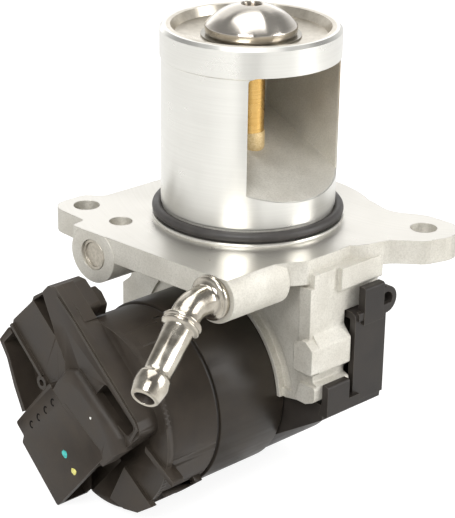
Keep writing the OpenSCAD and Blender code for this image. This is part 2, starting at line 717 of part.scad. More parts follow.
// Plated elbow: collar, short reach, bend, leg with a bead and a barbed end
module coolant_nipple() {
  out = nipple_out();
  side = [sin(face_slant), -cos(face_slant), 0];
  bend = acos(out * leg_dir / norm(leg_dir));
  roll = atan2(leg_dir * side, -leg_dir[2]);
  reach = nipple_reach - nipple_bend_r * tan(bend / 2);
  start = nipple_bend_r * tan(bend / 2);
  face = [nipple_face_x(), -front_boss_y, -front_boss_z];
  color("silver") aim(face, out) rotate([0, 0, roll]) difference() {
    union() {
      rotate_extrude() polygon([
        [0, -nipple_spigot], [drill_r, -nipple_spigot], [drill_r, 0],
        [nipple_r + 2.05, 0], [nipple_r + 2.05, 1.9],
        [nipple_r + 1.5, 2.5], [nipple_r + 0.2, 2.5], [nipple_r, 3], [nipple_r, reach], [0, reach]
      ]);
      translate([0, 0, reach]) {
        bend_arc(nipple_r - bend_step, bend);
        translate([nipple_bend_r * (1 - cos(bend)), 0, nipple_bend_r * sin(bend)]) rotate([0, bend, 0])
          translate([0, 0, -start]) rotate_extrude() polygon([
            [0, start - bend_lap], [nipple_r, start - bend_lap],
            [nipple_r, bead_at - 1.6], [nipple_r + 1.35, bead_at - 1.2],
            [nipple_r + 1.35, bead_at - 0.4], [nipple_r + 0.75, bead_at], [nipple_r + 1.2, bead_at + 0.4],
            [nipple_r + 1.2, bead_at + 1], [nipple_r, bead_at + 1.5], [nipple_r - 0.3, nipple_leg - 8],
            [nipple_r - 0.3, nipple_leg - 7.2], [nipple_r + 0.45, nipple_leg - 6.4],
            [nipple_r + 0.45, nipple_leg - 3.6], [nipple_r - 0.3, nipple_leg - 0.4],
            [nipple_r - 0.7, nipple_leg], [0, nipple_leg]
          ]);
      }
    }
    translate([0, 0, -nipple_spigot - over]) cylinder(r = nipple_bore_r, h = reach + nipple_spigot + over);
    translate([0, 0, reach]) {
      bend_arc(nipple_bore_r - bend_step, bend);
      translate([nipple_bend_r * (1 - cos(bend)), 0, nipple_bend_r * sin(bend)]) rotate([0, bend, 0])
        translate([0, 0, -bend_lap]) cylinder(r = nipple_bore_r, h = nipple_leg + over);
    }
  }
}

// Black barrel of the motor, with the wall that carries the front bearing
module motor_housing() {
  color(black) difference() {
    union() {
      ring_x(barrel_r, barrel_ri, barrel_x0, barrel_x1, 0, motor_z);
      rod_x(barrel_ri + 0.1, barrel_x1 - front_wall, barrel_x1, 0, motor_z);
      rod_x(bearing_hub_r, front_bearing_x, barrel_x1, 0, motor_z);
    }
    rod_x(bearing_r, front_bearing_x - over, front_bearing_x + bearing_w, 0, motor_z);
    rod_x(shaft_r + 1, front_bearing_x, barrel_x1 + over, 0, motor_z);
    rod_x(axle_r, barrel_x1 - 2, barrel_x1 + over, idler_y, idler_z);
  }
}

// Steel can that holds the field magnets
module motor_can() {
  color(steel) ring_x(can_r, can_r - can_wall, can_x0, can_x1, 0, motor_z);
}

// Two field magnets inside the can
module field_magnets() {
  color("#4a4846") difference() {
    ring_x(can_r - can_wall, magnet_ri, core_x0 - 2, core_x1 + 2, 0, motor_z);
    translate([core_x0 - 3, -3, motor_z - can_r]) cube([core_x1 - core_x0 + 6, 6, 2 * can_r]);
  }
}

// Slotted rotor core
module rotor_core() {
  color("slategray") difference() {
    rod_x(rotor_r, core_x0, core_x1, 0, motor_z);
    rod_x(shaft_r, core_x0 - over, core_x1 + over, 0, motor_z);
    for (i = [0:rotor_slots - 1])
      translate([core_x0 - over, 0, motor_z]) rotate([i * 360 / rotor_slots, 0, 0])
        translate([0, -1, rotor_r * 0.52]) cube([core_x1 - core_x0 + 2 * over, 2, rotor_r]);
  }
}

// Winding heads at both ends of the core
module rotor_windings() {
  color("#b0692c") {
    rotate([0, 90, 0]) translate([-motor_z, 0, core_x0 - winding_l]) rotate_extrude() winding_profile();
    translate([core_x1 + winding_l, 0, 0]) rotate([0, 90, 0])
      translate([-motor_z, 0, -winding_l]) rotate_extrude() winding_profile();
  }
}

module winding_profile() {
  polygon(outline([[shaft_r + 0.5, 0, 0], [rotor_r * 0.86, 0, 1.4], [rotor_r * 0.86, winding_l, 0],
                   [shaft_r + 0.5, winding_l, 0]]));
}

// Commutator: bars parted by slits
module commutator() {
  color("peru") difference() {
    rod_x(commutator_r, commutator_x0, commutator_x1, 0, motor_z);
    rod_x(shaft_r, commutator_x0 - over, commutator_x1 + over, 0, motor_z);
    for (i = [0:rotor_slots - 1])
      translate([commutator_x0 - over, 0, motor_z]) rotate([i * 360 / rotor_slots, 0, 0])
        translate([0, -0.2, commutator_r - 0.8]) cube([commutator_x1 - commutator_x0 + 2 * over, 0.4, 2]);
  }
}

// Motor shaft
module motor_shaft() {
  color(steel) rod_x(shaft_r, rear_bearing_x, fast_x + gear_face, 0, motor_z);
}

// Pinion on the shaft's front end, a tooth turned to the idler
module motor_pinion() {
  color("goldenrod") difference() {
    spur_x(fast_module, pinion_teeth, fast_x, gear_face, 0, motor_z, mesh_turn());
    rod_x(shaft_r, fast_x - over, fast_x + gear_face + over, 0, motor_z);
  }
}

// Direction from the pinion to the idler, and from the idler to the output gear, in the YZ plane
function mesh_turn() = atan2(idler_z - motor_z, idler_y);
function slow_turn() = atan2(output_z - idler_z, output_y - idler_y);

module front_bearing() {
  color(steel) bearing(front_bearing_x);
}

module rear_bearing() {
  color(steel) bearing(rear_bearing_x);
}

// Plate behind the commutator with the brush boxes
module brush_plate() {
  x0 = can_x0 - brush_plate_t - 0.1;
  color("#6b4a2f") difference() {
    union() {
      rod_x(can_r - 1, x0, x0 + brush_plate_t, 0, motor_z);
      for (s = [-1, 1])
        translate([x0, s > 0 ? commutator_r + 1 : -commutator_r - 1 - brush_box_l, motor_z - brush_box_w / 2])
          cube([commutator_x1 - x0 - 0.4, brush_box_l, brush_box_w]);
    }
    rod_x(bearing_hub_r + 0.4, x0 - over, x0 + brush_plate_t + over, 0, motor_z);
    for (s = [-1, 1])
      translate([commutator_x0 + 0.8, s > 0 ? 0 : -commutator_r - brush_l - 0.5, motor_z - brush_w / 2])
        cube([brush_t, commutator_r + brush_l + 0.5, brush_w]);
  }
}

// Carbon brushes in their boxes
module brushes() {
  color("#33302e") for (s = [-1, 1])
    translate([commutator_x0 + 0.8, s > 0 ? commutator_r + 0.1 : -commutator_r - 0.1 - brush_l,
               motor_z - brush_w / 2])
      cube([brush_t, brush_l, brush_w]);
}

// Flat seal between the barrel's end, the casting and the cover
module motor_seal() {
  color("#2c2b2a") ring_x(cover_r - 0.1, motor_opening_r - 2.6, barrel_x1, barrel_x1 + seal_t, 0, motor_z);
}

// Flat seal between the barrel and the cap's skirt
module cap_seal() {
  color("#2c2b2a") ring_x(skirt_r - 0.2, can_r + 0.1, skirt_x1, barrel_x0, 0, motor_z);
}

// Point on the cap's end, given along and across the connector
function on_cap(s, t, r = 0) =
  [-(s * cos(socket_turn) + t * sin(socket_turn)), -s * sin(socket_turn) + t * cos(socket_turn) + motor_z, r];

// Outline corners measured to the left and up from the motor's axis, as seen from the cap's end
function seen(p) = [for (q = p) [-q[0], q[1] + motor_z, q[2]]];

// Cap with its skirt, the connector and the duct that leads the wires to it
module end_cap() {
  x_top = cap_x - socket_h;
  s0 = socket_root;
  s1 = s0 + socket_l;
  t0 = socket_side;
  t1 = t0 + socket_w;
  duct_x = cap_x - socket_h + 2.6;
  pocket_floor = cap_x - 1;
  color(black) difference() {
    union() {
      // Skirt, end wall and rim
      ring_x(skirt_r, can_r + 0.1, cap_x, skirt_x1, 0, motor_z);
      rod_x(skirt_r, cap_x, cap_inner, 0, motor_z);
      rod_x(rim_r, cap_x - 0.8, cap_x + 1.2, 0, motor_z);
      rod_x(bearing_hub_r, cap_x, rear_bearing_x + bearing_w, 0, motor_z);
      // Connector
      slab_x([on_cap(s0, t0 + 2.4, 0.8), on_cap(s0 + 4.6, t0 + 2.4, 0.6), on_cap(s0 + 5.6, t0, 0.8),
              on_cap(s1, t0, 0.8), on_cap(s1, t1 + 6, 2), on_cap(s0, t1, 0.8)], x_top, cap_x + 0.4);
      // Duct and the wall beside it
      slab_x(seen([[-17, 34, 1.5], [-12, 37, 1.5], [-4, 30.5, 3], [22.6, 9.2, 3], [24, 5.4, 2.5],
                   [19.5, 0.6, 2], [8, -10, 0], [-10, 4, 0], [-8, 16, 4], [-12.4, 21, 3]]),
             duct_x, cap_x + 0.4);
      // Lug over the rim
      slab_x(seen([[-13, 36.6, 2], [-5, 42, 3], [0, 43.6, 2.4], [5, 43.4, 2.4], [10.4, 40, 2],
                   [8, 34, 3], [-6, 27, 0]]), cap_x - 5, cap_x + 3);
      // Stepped bay beside the duct
      slab_x(seen([[-16.8, 34, 0.8], [-22.6, 30.2, 0.8], [-23.4, 28.4, 0.8], [-32.6, 19.6, 0.8],
                   [-33.2, 17, 0.8], [-12, 2, 0], [-8, 14, 0]]), cap_x - 4.2, cap_x + 0.4);
      // Curved outer wall of the bay
      slab_x(seen([[-33.4, 17.4, 0.6], [-38.4, 11.6, 0.6], [-35, 7, 4], [-32, -1, 4], [-28.4, -8, 0],
                   [-27, -7.2, 0], [-30.6, -0.4, 4], [-33.5, 7, 4], [-36.3, 11.4, 0.4], [-32, 15.8, 0]]),
             cap_x - socket_h + 2, cap_x + 0.4);
      slab_x(seen([[-34, 14, 0], [-36, 10, 0], [-29, -5, 0], [-12, -8, 0], [-12, 6, 0]]),
             cap_x - 1, cap_x + 0.4);
      // Fin and round boss in the bay
      slab_x(seen([[-31.6, 17.6, 0], [-19.2, 7.2, 0], [-18.4, 8.2, 0], [-30.8, 18.6, 0]]),
             cap_x - 6.5, cap_x);
      rod_x(2, cap_x - 6.5, cap_x, 18.5, motor_z + 4.7);
      // Latch clips on the skirt
      for (a = [20, 140, 260]) latch(a);
      // Raised ring segment and rib on the end wall
      slab_x(seen([[4, -24.6, 0], [10.4, -12, 0], [22, -19.6, 0], [16, -24, 0], [10, -25.4, 0]]), cap_x - 2,
             cap_x);
      slab_x(seen([[19.6, -1.6, 0], [31, -8, 0.4], [30.6, -9.6, 0.4], [19.4, -3.4, 0]]),
             cap_x - 2, cap_x + 2);
    }
    // Bearing pocket
    rod_x(bearing_r, rear_bearing_x, rear_bearing_x + bearing_w + over, 0, motor_z);
    // Dark pocket beside the duct's wall
    slab_x(seen([[4.4, 9.6, 1.5], [9.6, 15.6, 1.5], [21.8, 6.6, 1.5], [18.6, 2.8, 1.5]]), duct_x - over,
           pocket_floor);
    // Slot between the duct and the bay
    slab_x(seen([[-18.4, 32.6, 0.4], [-15.6, 33, 0.4], [-12.2, 20.6, 0.2]]), x_top, cap_x - 1);
    // Pockets of the bay's upper plate
    slab_x(seen([[-29.6, 20.6, 0.5], [-24, 20, 0.5], [-22, 17.8, 0.5], [-27.8, 16.6, 0.5]]),
           cap_x - 5, cap_x - 2.2);
    // Mouth of the connector
    slab_x([on_cap(s1 - 18, t0 + socket_wall, 1), on_cap(s1 + over, t0 + socket_wall, 0),
            on_cap(s1 + over, t1 - socket_wall, 0), on_cap(s1 - 18, t1 - socket_wall, 1)],
           x_top + socket_wall, cap_x - 0.6);
    connector_pins();
    // Recess at the root of the connector
    slab_x(seen([[-11.8, 7.6, 0.5], [-8.6, 9.8, 0.5], [-3.8, 5.8, 0.5], [-6.8, 3.2, 0.5]]), x_top - over,
           x_top + 2.4);
  }
}

// Snap latch on the skirt, at an angle round the motor's axis
module latch(a) {
  translate([cap_x, 0, motor_z]) rotate([a, 0, 0]) {
    translate([4, -3.2, skirt_r - 0.6]) cube([skirt_l - 5.5, 6.4, 2]);
    translate([skirt_l - 4, -5.6, skirt_r - 0.6]) cube([2.5, 11.2, 2]);
  }
}

// Contacts in the connector
module connector_pins() {
  s1 = socket_root + socket_l;
  pitch = (socket_w - 2 * socket_wall - 6) / (contact_n - 1);
  x0 = cap_x - socket_h / 2 - 0.9;
  color(steel) for (i = [0:contact_n - 1])
    let (t = socket_side + socket_wall + 3 + i * pitch)
    slab_x([on_cap(s1 - 22, t - 0.4), on_cap(s1 - 8, t - 0.4), on_cap(s1 - 8, t + 0.4),
            on_cap(s1 - 22, t + 0.4)], x0, x0 + 0.8);
}

// Double gear on its axle
module idler_gear() {
  color("ivory") difference() {
    union() {
      spur_x(fast_module, idler_teeth, fast_x, gear_face, idler_y, idler_z,
             mesh_turn() + 180 + 180 / idler_teeth);
      rod_x(small_r - 0.9, fast_x + gear_face, slow_x, idler_y, idler_z);
      spur_x(slow_module, small_teeth, slow_x, gear_face, idler_y, idler_z, slow_turn());
    }
    rod_x(axle_r + run_gap, fast_x - over, slow_x + gear_face + over, idler_y, idler_z);
  }
}

// Axles of the two gears, held in the cover; the idler's also in the barrel's end wall
module idler_axle() {
  color(steel) rod_x(axle_r, barrel_x1 - 2, cover_inner + cover_wall / 2, idler_y, idler_z);
}

// Output gear with the boss of its crank pin
module output_gear() {
  color("ivory") difference() {
    spur_x(slow_module, output_teeth, slow_x, gear_face, output_y, output_z,
           slow_turn() + 180 + 180 / output_teeth);
    rod_x(axle_r + run_gap, slow_x - over, crank_face_x + over, output_y, output_z);
    rod_x(crank_pin_r, slow_x - over, crank_face_x + over, output_y + pin_rest[0], output_z + pin_rest[1]);
  }
}

module output_axle() {
  color(steel) rod_x(axle_r, slow_x + 0.2, cover_inner + cover_wall / 2, output_y, output_z);
}

// Crank pin with a head that keeps the roller on
module crank_pin() {
  color(steel) {
    rod_x(crank_pin_r, -2.6, crank_face_x, roller_y, yoke_z);
    rod_x(crank_pin_r + 0.75, -3.2, -2.6, roller_y, yoke_z);
  }
}

module crank_roller() {
  color("lightsteelblue") ring_x(roller_r, crank_pin_r + run_gap, -2.5, 2.5, roller_y, yoke_z);
}

// Ring magnet on the output gear
module sensor_magnet() {
  color("#4a4846")
    ring_x(axle_r + 5.2, axle_r + 3, crank_face_x, crank_face_x + magnet_ring_t, output_y, output_z);
}

// Circuit board of the position sensor, on the cover's wall
module sensor_board() {
  color("darkgreen") difference() {
    slab_x([[output_y - board_half_y, output_z - board_half_z, 1],
            [output_y + board_half_y, output_z - board_half_z, 1],
            [output_y + board_half_y, output_z + board_half_z, 1],
            [output_y - board_half_y, output_z + board_half_z, 1]],
           cover_inner - board_t, cover_inner);
    rod_x(axle_r + 2.8, cover_inner - board_t - over, cover_inner + over, output_y, output_z);
    rod_x(axle_r + 2.8, cover_inner - board_t - over, cover_inner + over, idler_y, idler_z);
  }
}

// Cover's outline in (y, z), drawn in by d: side walls, shoulders and roof
function cover_outline(d) = [
  [-cover_front + d, sill_z - 1, 0], [-cover_front + d, shoulder_z - d, d > 0 ? 0.5 : 2],
  [-shoulder_y + d, shoulder_z - d, 0], [-roof_y + d, cover_roof - d, 0], [roof_y - d, cover_roof - d, 0],
  [shoulder_y - d, shoulder_z - d, 0], [cover_front - 1 - d, shoulder_z - d, d > 0 ? 0.5 : 2],
  [cover_front - 1 - d, sill_z - 1, 0]
];

// Rail of the cover under the casting's sill, running down into the round belly
function rail_outline(d) = [
  [-case_block - 0.2 + d, sill_z + 1.2, 0], [-39, sill_z + 1.6, 0], [-29.6, sill_z - 0.2, 0],
  [29.6, sill_z - 0.2, 0], [39, sill_z + 1.6, 0], [case_block + 0.2 - d, sill_z + 1.2, 0],
  [case_block - 0.2 - d, sill_z - 3.2 + d * 0.5, 0], [23, motor_z - 13 + d, 0],
  [-23, motor_z - 13 + d, 0], [-case_block + 0.2 + d, sill_z - 3.2 + d * 0.5, 0]
];

// Round belly of the cover below the casting's sill, drawn in by d
module belly(d, x0, x1) {
  intersection() {
    rod_x(cover_r - d, x0, x1, 0, motor_z);
    translate([x0, -40, motor_z - 40]) cube([x1 - x0, 80, sill_z - 0.2 + d - motor_z + 40]);
  }
}

// Snap tabs on the cover's front wall: one hooks the ledge under the ear, one the casting's lower lip
module cover_tabs() {
  front = -cover_front;
  slab_x([[front - 0.8, shoulder_z - 4, 0], [front - 0.8, -10.9, 0.8], [front + 1.6, -10.9, 0],
          [front + 1.6, shoulder_z - 4, 0]], 3.7, 11.5);
  slab_x([[front - 0.6, shoulder_z - 2.6, 0.5], [front - 0.6, shoulder_z - 0.2, 0.5],
          [front + 0.4, shoulder_z + 0.2, 0], [front + 0.4, shoulder_z - 2.6, 0]], cover_edge + 0.8,
         cover_end + 1.4);
  slab_x([[front - 1.4, sill_z + 8, 0.8], [front + 0.8, sill_z + 8, 0], [front + 0.8, sill_z + 3, 0],
          [front + 2, sill_z - 1.6, 0], [front - 1.4, sill_z - 1.6, 0.6]], -10.4, -1.8);
  slab_x([[front - 1.4, sill_z + 2, 0], [front + 0.8, sill_z + 2, 0], [front + 1.2, sill_z - 1.6, 0],
          [front - 1.4, sill_z - 1.6, 0.6]], -2, cover_edge + 1.5);
  // Pull ring at the corner
  translate([cover_end - 0.6, front + 3.4, -16.8]) rotate([90, 0, 0]) difference() {
    cylinder(r = 4, h = 4);
    translate([0, 0, -over]) cylinder(r = 2.4, h = 4 + 2 * over);
    translate([-5, -5, -over]) cube([5 - 1.4, 10, 4 + 2 * over]);
  }
}

// Black cover over the gears, with its snap tabs
module gear_cover() {
  belly_x0 = barrel_x1 + seal_t;
  color(black) difference() {
    union() {
      slab_x(cover_outline(0), cover_edge, cover_end);
      slab_x(rail_outline(0), belly_x0, cover_end);
      belly(0, belly_x0, cover_end);
      cover_tabs();
    }
    difference() {
      union() {
        slab_x(cover_outline(cover_wall), cover_edge - over, cover_inner);
        translate([cover_edge - over, -cover_front + cover_wall, sill_z - 1.6])
          cube([cover_inner - cover_edge + over, 2 * cover_front - 1 - 2 * cover_wall, 3]);
        slab_x(rail_outline(cover_wall), cover_edge + 1, cover_inner);
        belly(cover_wall, belly_x0 - over, cover_inner);
      }
      // Ribs that press the flat seal, and the bosses of the two axles
      for (s = [-1, 1])
        translate([cover_edge, s * (chamber_half_w + 1.5) - 1.2, sill_z + 2])
          cube([cover_end, 2.4, shoulder_z - sill_z - 3]);
      rod_x(axle_r + 2.5, crank_face_x + face_gap, cover_end, idler_y, idler_z);
      rod_x(axle_r + 2.5, crank_face_x + face_gap, cover_end, output_y, output_z);
    }
    rod_x(axle_r, crank_face_x, cover_inner + cover_wall / 2, idler_y, idler_z);
    rod_x(axle_r, crank_face_x, cover_inner + cover_wall / 2, output_y, output_z);
    // Way for the spring's plate through the cover's roof
    translate([0, 0, cover_roof - cover_wall - over]) cylinder(r = pocket_r, h = cover_wall + 2 * over);
  }
}

// Flat seal between the casting and the cover: a strip on each side wall
module cover_gasket() {
  color("#2c2b2a") for (s = [-1, 1])
    translate([cover_edge - gasket_t, s * (chamber_half_w + 1.5) - 1.5, sill_z + 4])
      cube([gasket_t, 3, shoulder_z - sill_z - 5]);
}

valve_housing();
seat_ring();
guide_bush();
stem_seal();
seal_washer();
tube_seal();
poppet_valve();
return_spring();
spring_plate();
stem_yoke();
core_plug();
coolant_nipple();
motor_housing();
motor_can();
field_magnets();
rotor_core();
rotor_windings();
commutator();
motor_shaft();
motor_pinion();
front_bearing();
rear_bearing();
brush_plate();
brushes();
motor_seal();
cap_seal();
end_cap();
connector_pins();
idler_gear();
idler_axle();
output_gear();
output_axle();
crank_pin();
crank_roller();
sensor_magnet();
sensor_board();
cover_gasket();
gear_cover();
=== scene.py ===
import math
import random

import bmesh
import bpy
from mathutils import Matrix, Vector


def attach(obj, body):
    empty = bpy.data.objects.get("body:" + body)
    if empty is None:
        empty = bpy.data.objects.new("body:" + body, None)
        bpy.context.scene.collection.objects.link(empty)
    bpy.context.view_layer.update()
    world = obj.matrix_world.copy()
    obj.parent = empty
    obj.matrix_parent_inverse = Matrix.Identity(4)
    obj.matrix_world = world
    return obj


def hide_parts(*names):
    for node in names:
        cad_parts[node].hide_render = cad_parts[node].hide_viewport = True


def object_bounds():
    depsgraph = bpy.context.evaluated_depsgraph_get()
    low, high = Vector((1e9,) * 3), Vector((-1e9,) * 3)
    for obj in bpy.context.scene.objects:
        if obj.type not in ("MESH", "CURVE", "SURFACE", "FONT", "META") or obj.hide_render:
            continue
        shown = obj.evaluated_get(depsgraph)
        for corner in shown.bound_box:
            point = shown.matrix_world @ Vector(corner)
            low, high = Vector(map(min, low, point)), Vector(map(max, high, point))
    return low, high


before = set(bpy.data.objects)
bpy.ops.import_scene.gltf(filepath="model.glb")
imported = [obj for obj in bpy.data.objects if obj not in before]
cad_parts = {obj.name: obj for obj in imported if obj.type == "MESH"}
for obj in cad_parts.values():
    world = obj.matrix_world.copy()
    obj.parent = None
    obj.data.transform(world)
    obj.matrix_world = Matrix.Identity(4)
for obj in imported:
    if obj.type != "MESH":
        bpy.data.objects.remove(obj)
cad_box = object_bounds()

scene = bpy.context.scene
scene.view_settings.view_transform = "Standard"
MM = 0.001
WHITE = (1.0, 1.0, 1.0, 1.0)

# Camera, floor and light

# The photo's view in metres, fitted to the flange's holes and the tube's rims: the lens, a point on
# its axis half a metre away, and its tilt
CAMERA_AT = Vector((-0.32246, -0.33761, 0.18151))
CAMERA_AIM = Vector((-0.00817, -0.000575, -0.012465))
CAMERA_TILT = math.radians(0.878)
LENS_MM = 120.9

# Level direction of the dark gap between the two soft boxes that stand in front
GAP_DIRECTION = (-0.682, -0.731, 0.0)

FLOOR_HALF = 3.0
FLOOR_CLEARANCE = 0.0004

# Each lamp's name, place and size in metres, and its watts
LAMPS = [
    ("key_softbox", (-0.75, -0.45, 0.75), (0.55, 0.55), 9.5),
    ("right_fill", (0.45, -0.75, 0.35), (0.4, 0.6), 4.2),
    ("top_softbox", (0.05, 0.1, 0.95), (0.7, 0.7), 4.5),
    ("back_fill", (0.45, 0.65, 0.45), (0.9, 0.7), 1.6),
]
LAMPS_AIM = Vector((0.0, 0.0, -0.02))


def place_camera():
    data = bpy.data.cameras.new("photo_camera")
    data.lens = LENS_MM
    data.sensor_width = 36.0
    data.clip_start = 0.02
    data.clip_end = 20.0
    camera = bpy.data.objects.new("photo_camera", data)
    level = (CAMERA_AIM - CAMERA_AT).to_track_quat("-Z", "Y").to_matrix()
    tilted = level @ Matrix.Rotation(CAMERA_TILT, 3, "Z")
    camera.matrix_world = Matrix.Translation(CAMERA_AT) @ tilted.to_4x4()
    scene.collection.objects.link(camera)
    scene.camera = camera


def linear(hex_colour):
    """A colour written as sRGB hex, as the shaders' linear red, green, blue and alpha."""
    parts = [int(hex_colour[i:i + 2], 16) / 255 for i in (1, 3, 5)]
    return tuple(c / 12.92 if c <= 0.04045 else ((c + 0.055) / 1.055) ** 2.4 for c in parts) + (1.0,)


def add(tree, kind, inputs=None, **settings):
    """Adds a node with its settings and links.

    An input is a socket, a node that gives its first output in use, or a value.
    """
    node = tree.nodes.new(kind)
    for name, value in settings.items():
        setattr(node, name, value)
    for name, value in (inputs or {}).items():
        if isinstance(value, bpy.types.Node):
            value = next(s for s in value.outputs if s.enabled)
        if isinstance(value, bpy.types.NodeSocket):
            tree.links.new(value, node.inputs[name])
        else:
            node.inputs[name].default_value = value
    return node


def start(name):
    """An empty material, and the place on the object in millimetres."""
    mat = bpy.data.materials.new(name)
    mat.use_nodes = True
    tree = mat.node_tree
    tree.nodes.clear()
    coords = add(tree, "ShaderNodeTexCoord")
    mm = add(tree, "ShaderNodeVectorMath", {0: coords.outputs["Object"], "Scale": 1 / MM},
             operation="SCALE")
    return mat, tree, mm


def ray_kinds(tree):
    """Whether a ray comes from the camera, and whether it comes from a mirror or through glass."""
    path = add(tree, "ShaderNodeLightPath")
    mirrored = add(tree, "ShaderNodeMath", {0: path.outputs["Is Glossy Ray"],
                                            1: path.outputs["Is Transmission Ray"]}, operation="MAXIMUM")
    return path.outputs["Is Camera Ray"], mirrored


def gap_share(tree, direction):
    """Nothing everywhere but in the gap between the soft boxes, where it rises to one."""
    level = add(tree, "ShaderNodeVectorMath", {0: direction, 1: (1.0, 1.0, 0.0)}, operation="MULTIPLY")
    unit = add(tree, "ShaderNodeVectorMath", {0: level}, operation="NORMALIZE")
    towards = add(tree, "ShaderNodeVectorMath", {0: unit, 1: GAP_DIRECTION}, operation="DOT_PRODUCT")
    return add(tree, "ShaderNodeMapRange", {"Value": towards.outputs["Value"], "From Min": 0.955,
                                            "From Max": 0.985}, interpolation_type="SMOOTHSTEP")


def lit_floor():
    """Matt white paper: white with the object's shadow to the camera, and a white sweep in a mirror."""
    mat, tree, mm = start("floor_white_paper")
    camera_ray, mirrored_ray = ray_kinds(tree)
    paper = add(tree, "ShaderNodeBsdfDiffuse", {"Color": linear("#f4f4f2")})
    # To the camera most of the white is a glow, and the rest takes the object's shadow
    faint = add(tree, "ShaderNodeBsdfDiffuse", {"Color": linear("#959594")})
    glow = add(tree, "ShaderNodeEmission", {"Color": WHITE, "Strength": 0.86})
    seen = add(tree, "ShaderNodeAddShader", {0: faint, 1: glow})
    # In a mirror it is lit evenly, and darker towards the gap between the soft boxes
    dimmed = add(tree, "ShaderNodeMapRange", {"Value": gap_share(tree, mm), "To Min": 1.0, "To Max": 0.5})
    sweep = add(tree, "ShaderNodeEmission", {"Color": WHITE, "Strength": dimmed})
    mirrored = add(tree, "ShaderNodeMixShader", {0: 0.62, 1: paper, 2: sweep})
    other = add(tree, "ShaderNodeMixShader", {0: mirrored_ray, 1: paper, 2: mirrored})
    shown = add(tree, "ShaderNodeMixShader", {0: camera_ray, 1: other, 2: seen})
    add(tree, "ShaderNodeOutputMaterial", {"Surface": shown})
    level = cad_box[0][2] - FLOOR_CLEARANCE
    corners = [(-1, -1), (1, -1), (1, 1), (-1, 1)]
    mesh = bpy.data.meshes.new("floor")
    mesh.from_pydata([(x * FLOOR_HALF, y * FLOOR_HALF, level) for x, y in corners], [], [(0, 1, 2, 3)])
    mesh.materials.append(mat)
    floor = bpy.data.objects.new("floor", mesh)
    scene.collection.objects.link(floor)


def soft_light(name, at, size, watts):
    data = bpy.data.lights.new(name, "AREA")
    data.shape = "RECTANGLE"
    data.size, data.size_y = size
    data.energy = watts
    lamp = bpy.data.objects.new(name, data)
    lamp.location = at
    lamp.rotation_euler = (LAMPS_AIM - Vector(at)).to_track_quat("-Z", "Y").to_euler()
    lamp.visible_camera = False
    scene.collection.objects.link(lamp)


def light_studio():
    """A white surround that metal mirrors, darker overhead and in the gap, and four soft boxes."""
    world = bpy.data.worlds.new("studio")
    scene.world = world
    world.use_nodes = True
    tree = world.node_tree
    tree.nodes.clear()
    camera_ray, mirrored_ray = ray_kinds(tree)
    direction = add(tree, "ShaderNodeTexCoord").outputs["Generated"]
    axes = add(tree, "ShaderNodeSeparateXYZ", {0: direction})
    ceiling = add(tree, "ShaderNodeMapRange", {"Value": axes.outputs["Z"], "From Min": 0.1,
                                               "From Max": 0.6, "To Min": 0.95, "To Max": 0.3},
                  interpolation_type="SMOOTHSTEP")
    dimmed = add(tree, "ShaderNodeMapRange", {"Value": gap_share(tree, direction), "To Min": 1.0,
                                              "To Max": 0.35})
    strength = add(tree, "ShaderNodeMath", {0: ceiling, 1: dimmed}, operation="MULTIPLY")
    mirrored = add(tree, "ShaderNodeBackground", {"Color": WHITE, "Strength": strength})
    backdrop = add(tree, "ShaderNodeBackground", {"Color": WHITE, "Strength": 1.0})
    surround = add(tree, "ShaderNodeBackground", {"Color": WHITE, "Strength": 0.45})
    other = add(tree, "ShaderNodeMixShader", {0: mirrored_ray, 1: surround, 2: mirrored})
    shown = add(tree, "ShaderNodeMixShader", {0: camera_ray, 1: other, 2: backdrop})
    add(tree, "ShaderNodeOutputWorld", {"Surface": shown})
    for lamp in LAMPS:
        soft_light(*lamp)


# Materials

# Zones of the housing in mm: heights over the flange's top face, and distances from the tube's axis
FLANGE_TOP_BAND = 0.25
TUBE_FOOT = (0.2, 0.5)
TUBE_SKIN_R = (24.5, 24.8)
MOUTH_HEIGHT = (48.5, 49.0)
FUNNEL_R = (24.0, 23.4)
# The milling cutter swung round a point outside the flange
CUTTER_CENTRE = (70.0, -15.0, 0.0)

# The gleams on turned metal lie across the tool marks
ACROSS_MARKS = 0.25


